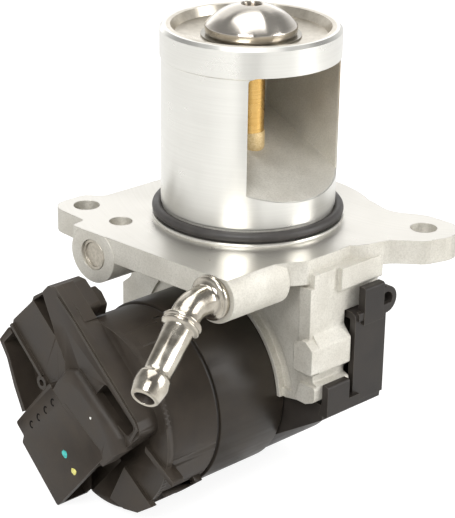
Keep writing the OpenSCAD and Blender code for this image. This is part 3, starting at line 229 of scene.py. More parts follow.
def cast_aluminium_housing():
    """Die-cast aluminium, turned and milled where it seals.

    The eye gets three finishes: pale matt grain on the cast walls, soft upright gleams on the turned
    tube, and a flat satin face with faint cutter arcs on the flange.
    """
    mat, tree, mm = start("aluminium_die_cast")
    height = add(tree, "ShaderNodeSeparateXYZ", {0: mm}).outputs["Z"]
    flat = add(tree, "ShaderNodeVectorMath", {0: mm, 1: (1.0, 1.0, 0.0)}, operation="MULTIPLY")
    radius = add(tree, "ShaderNodeVectorMath", {0: flat}, operation="LENGTH")
    plain = add(tree, "ShaderNodeNewGeometry")
    facing_up = add(tree, "ShaderNodeSeparateXYZ", {0: plain.outputs["Normal"]}).outputs["Z"]

    # Turned zones: the tube's outside, and the funnel and rim at its mouth
    above = add(tree, "ShaderNodeMapRange", {"Value": height, "From Min": TUBE_FOOT[0],
                                             "From Max": TUBE_FOOT[1]})
    out = add(tree, "ShaderNodeMapRange", {"Value": radius, "From Min": TUBE_SKIN_R[0],
                                           "From Max": TUBE_SKIN_R[1]})
    outside = add(tree, "ShaderNodeMath", {0: above, 1: out}, operation="MULTIPLY")
    mouth = add(tree, "ShaderNodeMapRange", {"Value": height, "From Min": MOUTH_HEIGHT[0],
                                             "From Max": MOUTH_HEIGHT[1]})
    turned = add(tree, "ShaderNodeMath", {0: outside, 1: mouth}, operation="MAXIMUM")
    inside = add(tree, "ShaderNodeMapRange", {"Value": radius, "From Min": FUNNEL_R[0],
                                              "From Max": FUNNEL_R[1]})
    funnel = add(tree, "ShaderNodeMath", {0: inside, 1: mouth}, operation="MULTIPLY")
    # Milled zone: the flange's top face
    facing = add(tree, "ShaderNodeMapRange", {"Value": facing_up, "From Min": 0.9, "From Max": 0.97})
    level = add(tree, "ShaderNodeMath", {0: height, 1: 0.0, 2: FLANGE_TOP_BAND}, operation="COMPARE")
    milled = add(tree, "ShaderNodeMath", {0: facing, 1: level}, operation="MULTIPLY")
    machined = add(tree, "ShaderNodeMath", {0: turned, 1: milled}, operation="MAXIMUM")

    # Casting skin: 0.45 mm sand grain over 5 mm lumps, and oxide stains a centimetre across
    skin = add(tree, "ShaderNodeTexNoise", {"Vector": mm, "Scale": 1 / 0.45, "Detail": 2.0,
                                            "Roughness": 0.6})
    lumps = add(tree, "ShaderNodeTexNoise", {"Vector": mm, "Scale": 1 / 5.0, "Detail": 2.0})
    stains = add(tree, "ShaderNodeTexNoise", {"Vector": mm, "Scale": 1 / 11.0, "Detail": 4.0,
                                              "Roughness": 0.6})
    stained = add(tree, "ShaderNodeMapRange", {"Value": stains, "From Min": 0.35, "From Max": 0.7})
    cast = add(tree, "ShaderNodeMix", {0: stained, 6: linear("#c6c2b8"), 7: linear("#d8d5cc")},
               data_type="RGBA")
    specks = add(tree, "ShaderNodeMapRange", {"Value": skin, "From Min": 0.28, "From Max": 0.6,
                                              "To Min": 0.6, "To Max": 1.0})
    cast = add(tree, "ShaderNodeMix", {0: specks, 6: linear("#9d988d"), 7: cast}, data_type="RGBA")
    # Turning marks are 0.2 mm apart on the real tube, drawn at 0.6 mm so that they show
    rings = add(tree, "ShaderNodeVectorMath", {0: mm, 1: (0.02, 0.02, 1.0)}, operation="MULTIPLY")
    marks = add(tree, "ShaderNodeTexNoise", {"Vector": rings, "Scale": 1 / 0.6, "Detail": 3.0,
                                             "Roughness": 0.7})
    # Milling marks are 0.3 mm apart on the real flange, drawn at 0.9 mm so that they show
    away = add(tree, "ShaderNodeVectorMath", {0: flat, 1: CUTTER_CENTRE}, operation="DISTANCE")
    sweep = add(tree, "ShaderNodeCombineXYZ", {"X": away.outputs["Value"]})
    arcs = add(tree, "ShaderNodeTexNoise", {"Vector": sweep, "Scale": 1 / 0.9, "Detail": 2.0,
                                            "Roughness": 0.7})
    bright = add(tree, "ShaderNodeMix", {0: marks, 6: linear("#e0ded8"), 7: linear("#edece6")},
                 data_type="RGBA")
    face = add(tree, "ShaderNodeMix", {0: arcs, 6: linear("#cfccc4"), 7: linear("#dedbd4")},
               data_type="RGBA")
    colour = add(tree, "ShaderNodeMix", {0: milled, 6: cast, 7: face}, data_type="RGBA")
    colour = add(tree, "ShaderNodeMix", {0: turned, 6: colour, 7: bright}, data_type="RGBA")
    # Painted shade: the funnel's recess is coloured darker, in uneven streaks about 2 mm wide
    streaks = add(tree, "ShaderNodeTexNoise", {"Vector": mm, "Scale": 1 / 2.0, "Detail": 4.0,
                                               "Roughness": 0.7})
    funnel_painted_shade = add(tree, "ShaderNodeMix", {0: streaks, 6: linear("#a1988a"), 7: linear("#ded8ca")},
                data_type="RGBA")
    colour = add(tree, "ShaderNodeMix", {0: funnel, 6: colour, 7: funnel_painted_shade}, data_type="RGBA")

    matt = add(tree, "ShaderNodeMapRange", {"Value": skin, "From Min": 0.3, "From Max": 0.7,
                                            "To Min": 0.5, "To Max": 0.64})
    satin = add(tree, "ShaderNodeMapRange", {"Value": stains, "From Min": 0.3, "From Max": 0.7,
                                             "To Min": 0.26, "To Max": 0.36})
    rough = add(tree, "ShaderNodeMix", {0: machined, 2: matt, 3: satin})
    # The oxide on a cast skin hides half of the metal
    metal = add(tree, "ShaderNodeMapRange", {"Value": machined, "To Min": 0.5, "To Max": 0.96})
    # Grain and lumps stand up to 0.075 mm on the cast skin, and machining takes them off
    uneven = add(tree, "ShaderNodeMath", {0: lumps, 1: 2.5, 2: skin}, operation="MULTIPLY_ADD")
    depth = add(tree, "ShaderNodeMapRange", {"Value": machined, "To Min": 0.075, "To Max": 0.0})
    pitted = add(tree, "ShaderNodeMath", {0: uneven, 1: depth}, operation="MULTIPLY")
    # Cast corners have radii of about half a millimetre
    soft_corners = add(tree, "ShaderNodeBevel", {"Radius": 0.4 * MM}, samples=6)
    cornered = add(tree, "ShaderNodeMix", {0: turned, 4: soft_corners, 5: plain.outputs["Normal"]},
                   data_type="VECTOR")
    bumped = add(tree, "ShaderNodeBump", {"Height": pitted, "Distance": MM, "Strength": 1.0,
                                          "Normal": cornered})
    tooled = add(tree, "ShaderNodeMix", {0: milled, 2: marks, 3: arcs})
    tooled = add(tree, "ShaderNodeMath", {0: tooled, 1: machined}, operation="MULTIPLY")
    bumped = add(tree, "ShaderNodeBump", {"Height": tooled, "Distance": 0.002 * MM, "Strength": 1.0,
                                          "Normal": bumped})
    round_axis = add(tree, "ShaderNodeTangent", direction_type="RADIAL", axis="Z")
    shader = add(tree, "ShaderNodeBsdfPrincipled", {
        "Base Color": colour, "Roughness": rough, "Metallic": metal, "Normal": bumped,
        "Anisotropic": 0.65, "Anisotropic Rotation": ACROSS_MARKS, "Tangent": round_axis})
    add(tree, "ShaderNodeOutputMaterial", {"Surface": shader})
    return mat


def turned_metal(name, low, high, roughness, mark_mm, depth_mm, around="Z", brushed=0.0):
    """Metal turned on a lathe: rings of tool marks round one of the part's axes, and gleams across them."""
    mat, tree, mm = start(name)
    along = {"X": (1.0, 0.04, 0.04), "Z": (0.04, 0.04, 1.0)}[around]
    rings = add(tree, "ShaderNodeVectorMath", {0: mm, 1: along}, operation="MULTIPLY")
    marks = add(tree, "ShaderNodeTexNoise", {"Vector": rings, "Scale": 1 / mark_mm, "Detail": 3.0,
                                             "Roughness": 0.7})
    # Tarnish comes in patches about 6 mm across
    stains = add(tree, "ShaderNodeTexNoise", {"Vector": mm, "Scale": 1 / 6.0, "Detail": 3.0})
    tarnish = add(tree, "ShaderNodeMapRange", {"Value": stains, "From Min": 0.4, "From Max": 0.75,
                                               "To Max": 0.3})
    colour = add(tree, "ShaderNodeMix", {0: marks, 6: linear(low), 7: linear(high)}, data_type="RGBA")
    colour = add(tree, "ShaderNodeMix", {0: tarnish, 6: colour, 7: linear(low)}, data_type="RGBA")
    rough = add(tree, "ShaderNodeMapRange", {"Value": stains, "From Min": 0.3, "From Max": 0.7,
                                             "To Min": roughness * 0.85, "To Max": roughness * 1.25})
    bumped = add(tree, "ShaderNodeBump", {"Height": marks, "Distance": depth_mm * MM, "Strength": 1.0})
    inputs = {"Base Color": colour, "Roughness": rough, "Metallic": 1.0, "Normal": bumped}
    if brushed:
        inputs["Anisotropic"] = brushed
        inputs["Anisotropic Rotation"] = ACROSS_MARKS
        inputs["Tangent"] = add(tree, "ShaderNodeTangent", direction_type="RADIAL", axis=around)
    shader = add(tree, "ShaderNodeBsdfPrincipled", inputs)
    add(tree, "ShaderNodeOutputMaterial", {"Surface": shader})
    return mat


def polished_stainless_poppet():
    """Stainless steel, turned and polished: fine rings round the dome's centre, and gleams across them."""
    mat, tree, mm = start("stainless_turned_polished")
    height = add(tree, "ShaderNodeSeparateXYZ", {0: mm}).outputs["Z"]
    flat = add(tree, "ShaderNodeVectorMath", {0: mm, 1: (1.0, 1.0, 0.0)}, operation="MULTIPLY")
    radius = add(tree, "ShaderNodeVectorMath", {0: flat}, operation="LENGTH")
    across = add(tree, "ShaderNodeCombineXYZ", {"X": radius, "Y": height})
    # Polishing rings 0.3 mm apart
    rings = add(tree, "ShaderNodeTexNoise", {"Vector": across, "Scale": 1 / 0.3, "Detail": 2.0,
                                             "Roughness": 0.6})
    # The drilled centre, 3 mm in radius, is left rough, and its colour is darkened as painted shade of the
    # recess
    polished = add(tree, "ShaderNodeMapRange", {"Value": radius, "From Min": 2.6, "From Max": 3.2})
    colour = add(tree, "ShaderNodeMix", {0: rings, 6: linear("#c4bdb2"), 7: linear("#e2dcd3")},
                 data_type="RGBA")
    colour = add(tree, "ShaderNodeMix", {0: polished, 6: linear("#857b6f"), 7: colour}, data_type="RGBA")
    rough = add(tree, "ShaderNodeMapRange", {"Value": polished, "To Min": 0.42, "To Max": 0.2})
    bumped = add(tree, "ShaderNodeBump", {"Height": rings, "Distance": 0.004 * MM, "Strength": 1.0})
    round_axis = add(tree, "ShaderNodeTangent", direction_type="RADIAL", axis="Z")
    shader = add(tree, "ShaderNodeBsdfPrincipled", {
        "Base Color": colour, "Roughness": rough, "Metallic": 1.0, "Normal": bumped,
        "Anisotropic": 0.8, "Anisotropic Rotation": ACROSS_MARKS, "Tangent": round_axis})
    add(tree, "ShaderNodeOutputMaterial", {"Surface": shader})
    return mat


def plated_nickel_nipple():
    """Drawn steel tube with bright nickel plate: a clear warm mirror, faintly uneven, with a few stains."""
    mat, tree, mm = start("steel_nickel_plated")
    uneven = add(tree, "ShaderNodeTexNoise", {"Vector": mm, "Scale": 1 / 1.1, "Detail": 3.0,
                                              "Roughness": 0.6})
    stains = add(tree, "ShaderNodeTexNoise", {"Vector": mm, "Scale": 1 / 4.0, "Detail": 3.0})
    clear = add(tree, "ShaderNodeMapRange", {"Value": stains, "From Min": 0.35, "From Max": 0.7})
    colour = add(tree, "ShaderNodeMix", {0: clear, 6: linear("#a59d90"), 7: linear("#cfc9bc")},
                 data_type="RGBA")
    rough = add(tree, "ShaderNodeMapRange", {"Value": stains, "From Min": 0.3, "From Max": 0.7,
                                             "To Min": 0.15, "To Max": 0.24})
    bumped = add(tree, "ShaderNodeBump", {"Height": uneven, "Distance": 0.004 * MM, "Strength": 1.0})
    shader = add(tree, "ShaderNodeBsdfPrincipled", {"Base Color": colour, "Roughness": rough,
                                                    "Metallic": 1.0, "Normal": bumped})
    add(tree, "ShaderNodeOutputMaterial", {"Surface": shader})
    return mat


def moulded_black(name, deep, worn, roughness, skin_mm, skin_depth_mm, edge_mm=0.0, sheen=0.32):
    """Glass-filled nylon, injection moulded: a satin brown-black skin, finely pitted, with paler edges from
    wear and painted highlight.
    """
    mat, tree, mm = start(name)
    skin = add(tree, "ShaderNodeTexNoise", {"Vector": mm, "Scale": 1 / skin_mm, "Detail": 2.0,
                                            "Roughness": 0.6})
    # Flow of the melt: bands about a centimetre wide
    flow = add(tree, "ShaderNodeTexNoise", {"Vector": mm, "Scale": 1 / 9.0, "Detail": 4.0,
                                            "Roughness": 0.6})
    dusty = add(tree, "ShaderNodeMapRange", {"Value": flow, "From Min": 0.35, "From Max": 0.7,
                                             "To Max": 0.6})
    colour = add(tree, "ShaderNodeMix", {0: dusty, 6: linear(deep), 7: linear(worn)}, data_type="RGBA")
    if edge_mm:
        # Worn edges with painted highlight: paler where the rounded normal turns from the plain one
        rounded_normal = add(tree, "ShaderNodeBevel", {"Radius": edge_mm * MM}, samples=6)
        plain = add(tree, "ShaderNodeNewGeometry")
        same = add(tree, "ShaderNodeVectorMath", {0: rounded_normal, 1: plain.outputs["Normal"]},
                   operation="DOT_PRODUCT")
        edge_wear_and_highlight = add(tree, "ShaderNodeMapRange", {"Value": same.outputs["Value"], "From Min": 0.97,
                                                  "From Max": 0.75, "To Max": 0.5},
                     interpolation_type="SMOOTHSTEP")
        colour = add(tree, "ShaderNodeMix", {0: edge_wear_and_highlight, 6: colour, 7: linear("#6b645b")},
                     data_type="RGBA")
    satin = add(tree, "ShaderNodeMapRange", {"Value": flow, "From Min": 0.3, "From Max": 0.7,
                                             "To Min": roughness * 0.88, "To Max": roughness * 1.15})
    bumped = add(tree, "ShaderNodeBump", {"Height": skin, "Distance": skin_depth_mm * MM,
                                          "Strength": 1.0})
    shader = add(tree, "ShaderNodeBsdfPrincipled", {"Base Color": colour, "Roughness": satin,
                                                    "Normal": bumped, "Specular IOR Level": sheen})
    add(tree, "ShaderNodeOutputMaterial", {"Surface": shader})
    return mat


def moulded_rubber():
    """Nitrile rubber, compression moulded: dull black with a faint grey bloom."""
    mat, tree, mm = start("nitrile_rubber_moulded")
    bloom = add(tree, "ShaderNodeTexNoise", {"Vector": mm, "Scale": 1 / 3.0, "Detail": 3.0})
    skin = add(tree, "ShaderNodeTexNoise", {"Vector": mm, "Scale": 1 / 0.4, "Detail": 2.0})
    colour = add(tree, "ShaderNodeMix", {0: bloom, 6: linear("#242221"), 7: linear("#45413e")},
                 data_type="RGBA")
    dull = add(tree, "ShaderNodeMapRange", {"Value": bloom, "From Min": 0.3, "From Max": 0.7,
                                            "To Min": 0.38, "To Max": 0.55})
    bumped = add(tree, "ShaderNodeBump", {"Height": skin, "Distance": 0.012 * MM, "Strength": 1.0})
    shader = add(tree, "ShaderNodeBsdfPrincipled", {"Base Color": colour, "Roughness": dull,
                                                    "Normal": bumped})
    add(tree, "ShaderNodeOutputMaterial", {"Surface": shader})
    return mat


def grained(name, low, high, roughness, size_mm, depth_mm, metallic=0.0):
    """Pressed, plated or painted skin: two tones of one colour in a grain of a real size."""
    mat, tree, mm = start(name)
    tone = add(tree, "ShaderNodeTexNoise", {"Vector": mm, "Scale": 1 / size_mm, "Detail": 3.0,
                                            "Roughness": 0.6})
    share = add(tree, "ShaderNodeMapRange", {"Value": tone, "From Min": 0.3, "From Max": 0.7})
    colour = add(tree, "ShaderNodeMix", {0: share, 6: linear(low), 7: linear(high)}, data_type="RGBA")
    rough = add(tree, "ShaderNodeMapRange", {"Value": tone, "From Min": 0.3, "From Max": 0.7,
                                             "To Min": roughness * 0.85, "To Max": roughness * 1.15})
    bumped = add(tree, "ShaderNodeBump", {"Height": tone, "Distance": depth_mm * MM, "Strength": 1.0})
    shader = add(tree, "ShaderNodeBsdfPrincipled", {"Base Color": colour, "Roughness": rough,
                                                    "Metallic": metallic, "Normal": bumped})
    add(tree, "ShaderNodeOutputMaterial", {"Surface": shader})
    return mat


def wound_copper():
    """Enamelled copper wire, 0.5 mm thick, wound in layers: brown-orange strands."""
    mat, tree, mm = start("copper_wire_enamelled")
    # The bands of this texture are 0.314 of its unit apart, here 0.5 mm
    strands = add(tree, "ShaderNodeTexWave", {"Vector": mm, "Scale": 1 / 1.6, "Distortion": 1.2,
                                              "Detail": 1.0}, bands_direction="X").outputs["Fac"]
    colour = add(tree, "ShaderNodeMix", {0: strands, 6: linear("#5a2a12"), 7: linear("#b4622c")},
                 data_type="RGBA")
    bumped = add(tree, "ShaderNodeBump", {"Height": strands, "Distance": 0.2 * MM, "Strength": 1.0})
    shader = add(tree, "ShaderNodeBsdfPrincipled", {"Base Color": colour, "Roughness": 0.3,
                                                    "Metallic": 0.6, "Normal": bumped})
    add(tree, "ShaderNodeOutputMaterial", {"Surface": shader})
    return mat


def circuit_board():
    """Glass-fibre board with green solder mask: glossy green with raised copper tracks 1 mm apart."""
    mat, tree, mm = start("circuit_board_masked")
    # The rows of this texture are a quarter of its unit high, here 1 mm
    tracks = add(tree, "ShaderNodeTexBrick", {"Vector": mm, "Scale": 0.25, "Mortar Size": 0.05,
                                              "Color1": linear("#0d4a2a"), "Color2": linear("#12552f"),
                                              "Mortar": linear("#2f7a45")})
    bumped = add(tree, "ShaderNodeBump", {"Height": tracks.outputs["Fac"], "Distance": 0.05 * MM,
                                          "Strength": 1.0})
    shader = add(tree, "ShaderNodeBsdfPrincipled", {"Base Color": tracks.outputs["Color"],
                                                    "Roughness": 0.25, "Normal": bumped})
    add(tree, "ShaderNodeOutputMaterial", {"Surface": shader})
    return mat


# Colours are the low and the high tone, then comes the roughness. Grain and mark sizes are in mm
MATERIALS = {
    "casting": cast_aluminium_housing(),
    "poppet": polished_stainless_poppet(),
    "nickel": plated_nickel_nipple(),
    # Warm yellow with an upright gleam
    "brass": turned_metal("brass_turned", "#c99a4c", "#ecc885", 0.24, mark_mm=0.5, depth_mm=0.004,
                          brushed=0.6),
    # Painted shade: the nipple's bore is coloured dark behind its bright lip
    "bore": grained("steel_bore_painted_shade", "#2d2722", "#4a4139", 0.55, size_mm=1.5, depth_mm=0.03,
                    metallic=0.3),
    # Sandy, pale and dull beside the turned brass
    "sandy_brass": grained("brass_sand_textured", "#c2a672", "#e0cba0", 0.5, size_mm=0.5,
                           depth_mm=0.05, metallic=0.6),
    # Hard grey with fine grinding rings
    "seat": turned_metal("seat_steel_ground", "#8e8a82", "#b9b5ac", 0.3, mark_mm=0.4, depth_mm=0.01),
    # Dull warm grey, pressed in and a little marked
    "plug": grained("plug_steel_pressed", "#a39c8f", "#c6bfb2", 0.42, size_mm=0.9, depth_mm=0.03,
                    metallic=0.8),
    # The barrel is the smoothest of the black mouldings and the cap the dullest
    "barrel": moulded_black("nylon_black_barrel", "#2a2520", "#393229", 0.4, skin_mm=0.5,
                            skin_depth_mm=0.01, sheen=0.3),
    "cap": moulded_black("nylon_black_cap", "#2f2923", "#40382f", 0.5, skin_mm=0.45,
                         skin_depth_mm=0.02, edge_mm=0.3),
    "cover": moulded_black("nylon_black_cover", "#24201d", "#332e29", 0.42, skin_mm=0.45,
                           skin_depth_mm=0.02, edge_mm=0.3),
    # Painted shade: the small marks are coloured near black, as the shade in engraved grooves
    "deep": moulded_black("nylon_black_painted_groove_shade", "#080706", "#100e0c", 0.7, skin_mm=0.6,
                          skin_depth_mm=0.02, sheen=0.08),
    # Marking paints: thick, even and slightly glossy
    "teal": grained("paint_teal_dabbed", "#1f9d96", "#45c4bb", 0.4, size_mm=0.9, depth_mm=0.06),
    "yellow": grained("paint_yellow_dabbed", "#b8b04c", "#e2dc86", 0.4, size_mm=0.9, depth_mm=0.06),
    "speck": grained("paint_white_dabbed", "#d9d7d0", "#f4f3ee", 0.4, size_mm=0.5, depth_mm=0.04),
    "rubber": moulded_rubber(),
    # Even silver grey
    "zinc": grained("steel_zinc_plated", "#9b9b98", "#cfcfca", 0.36, size_mm=2.5, depth_mm=0.01,
                    metallic=1.0),
    # Bluish grey with drawing rings
    "spring": turned_metal("spring_steel_drawn", "#6e6d70", "#98979a", 0.3, mark_mm=0.6,
                           depth_mm=0.01),
    # Grey with fine rings round the motor's direction
    "steel": turned_metal("steel_ground", "#7c7b7a", "#a9a8a6", 0.26, mark_mm=0.4, depth_mm=0.008,
                          around="X"),
    "bearing": turned_metal("bearing_steel_polished", "#9f9f9e", "#d2d2d0", 0.16, mark_mm=0.4,
                            depth_mm=0.004, around="X"),
    # Stone-like dark grey
    "ferrite": grained("ferrite_pressed", "#232120", "#3a3735", 0.6, size_mm=0.6, depth_mm=0.03),
    # Thin sheets of steel, seen as fine dark rings
    "laminations": turned_metal("steel_laminations", "#4c4b4a", "#7d7c7a", 0.42, mark_mm=0.5,
                                depth_mm=0.05, around="X"),
    "copper": wound_copper(),
    # Red-brown copper with running marks
    "bars": turned_metal("copper_bars_turned", "#8f4a24", "#c87a48", 0.3, mark_mm=0.4, depth_mm=0.01,
                         around="X"),
    # Brown paper board, dull
    "phenolic": grained("phenolic_paper_board", "#4a2f1a", "#6b472a", 0.5, size_mm=1.2,
                        depth_mm=0.02),
    # Sooty black
    "carbon": grained("carbon_pressed", "#141415", "#2a2a2b", 0.6, size_mm=0.5, depth_mm=0.03),
    # Soft silver
    "contacts": grained("bronze_tin_plated", "#b9b6ac", "#d9d6cc", 0.28, size_mm=1.5, depth_mm=0.01,
                        metallic=1.0),
    # Creamy white with a low gloss
    "acetal": grained("acetal_moulded", "#cfc6ae", "#e2dac4", 0.4, size_mm=1.5, depth_mm=0.01),
    "board": circuit_board(),
}

# Finish of each CAD node
FINISH = {
    "valve_housing": "casting",
    "seat_ring": "seat",
    "guide_bush": "brass",
    "stem_seal": "rubber",
    "seal_washer": "zinc",
    "tube_seal": "rubber",
    "poppet_valve": "poppet",
    "return_spring": "spring",
    "spring_plate": "zinc",
    "stem_yoke": "zinc",
    "core_plug": "plug",
    "coolant_nipple": "nickel",
    "motor_housing": "barrel",
    "motor_can": "zinc",
    "field_magnets": "ferrite",
    "rotor_core": "laminations",
    "rotor_windings": "copper",
    "commutator": "bars",
    "motor_shaft": "steel",
    "motor_pinion": "brass",
    "front_bearing": "bearing",
    "rear_bearing": "bearing",
    "brush_plate": "phenolic",
    "brushes": "carbon",
    "motor_seal": "rubber",
    "cap_seal": "rubber",
    "end_cap": "cap",
    "connector_pins": "contacts",
    "idler_gear": "acetal",
    "idler_axle": "steel",
    "output_gear": "acetal",
    "output_axle": "steel",
    "crank_pin": "steel",
    "crank_roller": "bearing",
    "sensor_magnet": "ferrite",
    "sensor_board": "board",
    "cover_gasket": "rubber",
    "gear_cover": "cover",
}

# Edge rounding in mm of the nodes that show, but for the housing, whose material rounds its corners
ROUNDED_MM = {"gear_cover": 0.25, "motor_housing": 0.3, "core_plug": 0.2, "poppet_valve": 0.15}
SHARP_EDGE = math.radians(32.0)
JOIN_WITHIN_MM = 0.01


def join_points(piece):
    weld = piece.modifiers.new("join", "WELD")
    weld.merge_threshold = JOIN_WITHIN_MM * MM


def round_edges(piece, width_mm):
    """Small radii along a piece's edges, after its faces' shared points and flats are joined."""
    join_points(piece)
    flats = piece.modifiers.new("flats", "DECIMATE")
    flats.decimate_type = "DISSOLVE"
    flats.angle_limit = math.radians(0.4)
    bevel = piece.modifiers.new("edges", "BEVEL")
    bevel.width = width_mm * MM
    bevel.segments = 2
    bevel.limit_method = "ANGLE"
    bevel.angle_limit = SHARP_EDGE
    bevel.harden_normals = True
    bevel.miter_outer = "MITER_ARC"


def finish_nodes():
    for name, finish in FINISH.items():
        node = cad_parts[name]
        for slot in node.material_slots:
            slot.material = MATERIALS[finish]
        if name in ROUNDED_MM:
            round_edges(node, ROUNDED_MM[name])


# The scene's own pieces, in mm


def new_piece(name, points, faces, finish, smooth=True):
    """A mesh piece from points in millimetres."""
    mesh = bpy.data.meshes.new(name)
    mesh.from_pydata([Vector(p) * MM for p in points], [], faces)
    mesh.validate()
    mesh.polygons.foreach_set("use_smooth", [smooth] * len(mesh.polygons))
    mesh.materials.append(MATERIALS[finish])
    piece = bpy.data.objects.new(name, mesh)
    scene.collection.objects.link(piece)
    return piece


def circle(centre, direction, side, radius, sides):
    """Points round a centre, square to a direction. The first is square to the side as well."""
    right = direction.cross(side).normalized()
    up = right.cross(direction).normalized()
    turns = [2 * math.pi * k / sides for k in range(sides)]
    return [centre + radius * (math.cos(a) * right + math.sin(a) * up) for a in turns]


def band(first, second, sides):
    """Faces between two rings of points, whose numbers start at first and at second."""
    return [(first + k, second + k, second + (k + 1) % sides, first + (k + 1) % sides)
            for k in range(sides)]


# Nipple: where it leaves the casting, its first direction, its leg's, and the bend between them
NIPPLE_FACE = Vector((-39.197, -28.4, -5.85))
NIPPLE_OUT = Vector((-0.99441, -0.10557, 0.0))
NIPPLE_LEG = Vector((-0.797, -0.311, -0.518)).normalized()
NIPPLE_REACH = 8.8
NIPPLE_BEND_R = 9.0
NIPPLE_R = 4.2
NIPPLE_BORE_R = 2.7
NIPPLE_SUNK = 5.0
NIPPLE_SIDES = 56
NIPPLE_BEND_STEPS = 12

# Outer skin of the first run with its collar: distance from the casting, and radius
NIPPLE_COLLAR = [(-NIPPLE_SUNK, 3.35), (-0.02, 3.35), (0.0, 5.9), (0.25, 6.2), (1.6, 6.2),
                 (1.95, 5.95), (2.2, 5.35), (2.6, 4.6), (3.2, 4.25), (4.0, NIPPLE_R)]
# Outer skin of the leg: distance from the corner of the bend, and radius
NIPPLE_BEAD = [(4.2, NIPPLE_R), (4.6, 4.35), (4.9, 5.2), (5.15, 5.5), (5.75, 5.5), (6.0, 5.2),
               (6.25, 4.95), (6.5, 5.15), (6.75, 5.38), (7.2, 5.35), (7.5, 4.95), (7.8, 4.35),
               (8.3, 4.15)]
NIPPLE_BARB = [(21.2, 3.95), (22.2, 3.95), (22.7, 4.15), (23.1, 4.5), (23.7, 4.65), (25.8, 4.65),
               (26.6, 4.5), (28.9, 3.98), (29.4, 3.75), (29.7, 3.35)]
# The lip round the bore's mouth
NIPPLE_LIP = [(29.72, 3.0), (29.45, NIPPLE_BORE_R)]


def bent_nipple():
    """Tube bent in one sweep with its collar, bead and barb. The solid has two straight runs."""
    bend = NIPPLE_OUT.angle(NIPPLE_LEG)
    corner = NIPPLE_FACE + NIPPLE_REACH * NIPPLE_OUT
    inward = (NIPPLE_LEG - NIPPLE_OUT * NIPPLE_OUT.dot(NIPPLE_LEG)).normalized()
    middle = corner - NIPPLE_BEND_R * math.tan(bend / 2) * NIPPLE_OUT + NIPPLE_BEND_R * inward
    arc = []
    for k in range(NIPPLE_BEND_STEPS + 1):
        a = bend * k / NIPPLE_BEND_STEPS
        spoke = NIPPLE_OUT * math.sin(a) - inward * math.cos(a)
        arc.append((middle + NIPPLE_BEND_R * spoke, NIPPLE_OUT * math.cos(a) + inward * math.sin(a)))
    # Each ring is a centre, a direction and a radius: out along the skin and back through the bore
    rings = [(NIPPLE_FACE + d * NIPPLE_OUT, NIPPLE_OUT, r) for d, r in NIPPLE_COLLAR]
    rings += [(centre, direction, NIPPLE_R) for centre, direction in arc]
    leg = NIPPLE_BEAD + NIPPLE_BARB + NIPPLE_LIP
    rings += [(corner + d * NIPPLE_LEG, NIPPLE_LEG, r) for d, r in leg]
    first_of_bore = len(rings) - 1
    rings += [(centre, direction, NIPPLE_BORE_R) for centre, direction in reversed(arc)]
    rings.append((NIPPLE_FACE - NIPPLE_SUNK * NIPPLE_OUT, NIPPLE_OUT, NIPPLE_BORE_R))
    points = []
    faces = []
    for i, (centre, direction, radius) in enumerate(rings):
        points += circle(centre, direction, Vector((0, 0, 1)), radius, NIPPLE_SIDES)
        following = (i + 1) % len(rings)
        faces += band(i * NIPPLE_SIDES, following * NIPPLE_SIDES, NIPPLE_SIDES)
    nipple = new_piece("bent_nipple", points, faces, "nickel")
    # The bore takes the dark material that paints its shade
    nipple.data.materials.append(MATERIALS["bore"])
    for face in nipple.data.polygons:
        face.material_index = 1 if face.index // NIPPLE_SIDES >= first_of_bore else 0
    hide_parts("coolant_nipple")
    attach(nipple, "housing")


# The cap's forms are drawn as its end shows them: mm to the left of the motor's axis and above it.
# Planes of the cap along X: the connector's face, the duct's top and the end wall
FACE_X = -63.3
DUCT_X = -60.7
WALL_X = -53.3
RIM_R = 27.6
SKIRT_R = 26.6
# Height of the motor's axis under the flange's top
MOTOR_DROP = 47.0


def on_cap(left, up, x):
    return Vector((x, -left, up - MOTOR_DROP))


def rounded(corners, steps=5):
    """Outline through corners (left, up) or (left, up, radius)."""
    points = []
    for i, corner in enumerate(corners):
        here = Vector(corner[:2])
        if len(corner) == 2:
            points.append(here)
            continue
        radius = corner[2]
        before = (Vector(corners[i - 1][:2]) - here).normalized()
        after = (Vector(corners[(i + 1) % len(corners)][:2]) - here).normalized()
        half = before.angle(after) / 2
        centre = here + (before + after).normalized() * radius / math.sin(half)
        first = here + before * radius / math.tan(half) - centre
        last = here + after * radius / math.tan(half) - centre
        for k in range(steps + 1):
            points.append(centre + first.lerp(last, k / steps).normalized() * radius)
    return points


def arc_corners(left, up, radius, degrees):
    return [(left + radius * math.cos(math.radians(a)), up + radius * math.sin(math.radians(a)))
            for a in degrees]


def faces_through(layers, sides):
    """Faces of a closed body through layers of points, each with the same number round it."""
    last = (layers - 1) * sides
    faces = [tuple(range(sides)), tuple(range(last + sides - 1, last - 1, -1))]
    for layer in range(layers - 1):
        faces += band(layer * sides, (layer + 1) * sides, sides)
    return faces


def cap_form(corners, x0, x1):
    """Prism along X with the outline through the corners."""
    outline = rounded(corners)
    points = [on_cap(p.x, p.y, x) for x in (x0, x1) for p in outline]
    faces = faces_through(2, len(outline))
    clockwise = sum(p.cross(q) for p, q in zip(outline, outline[1:] + outline[:1])) < 0
    if clockwise:
        faces = [tuple(reversed(face)) for face in faces]
    return new_piece("form", points, faces, "cap", smooth=False)


def combine(base, form, operation):
    """Adds a form to a piece or cuts it away, and leaves the result as the piece's mesh."""
    step = base.modifiers.new("form", "BOOLEAN")
    step.operation = operation
    step.object = form
    step.solver = "EXACT"
    graph = bpy.context.evaluated_depsgraph_get()
    mesh = bpy.data.meshes.new_from_object(base.evaluated_get(graph))
    base.modifiers.clear()
    base.data = mesh
    bpy.data.objects.remove(form)


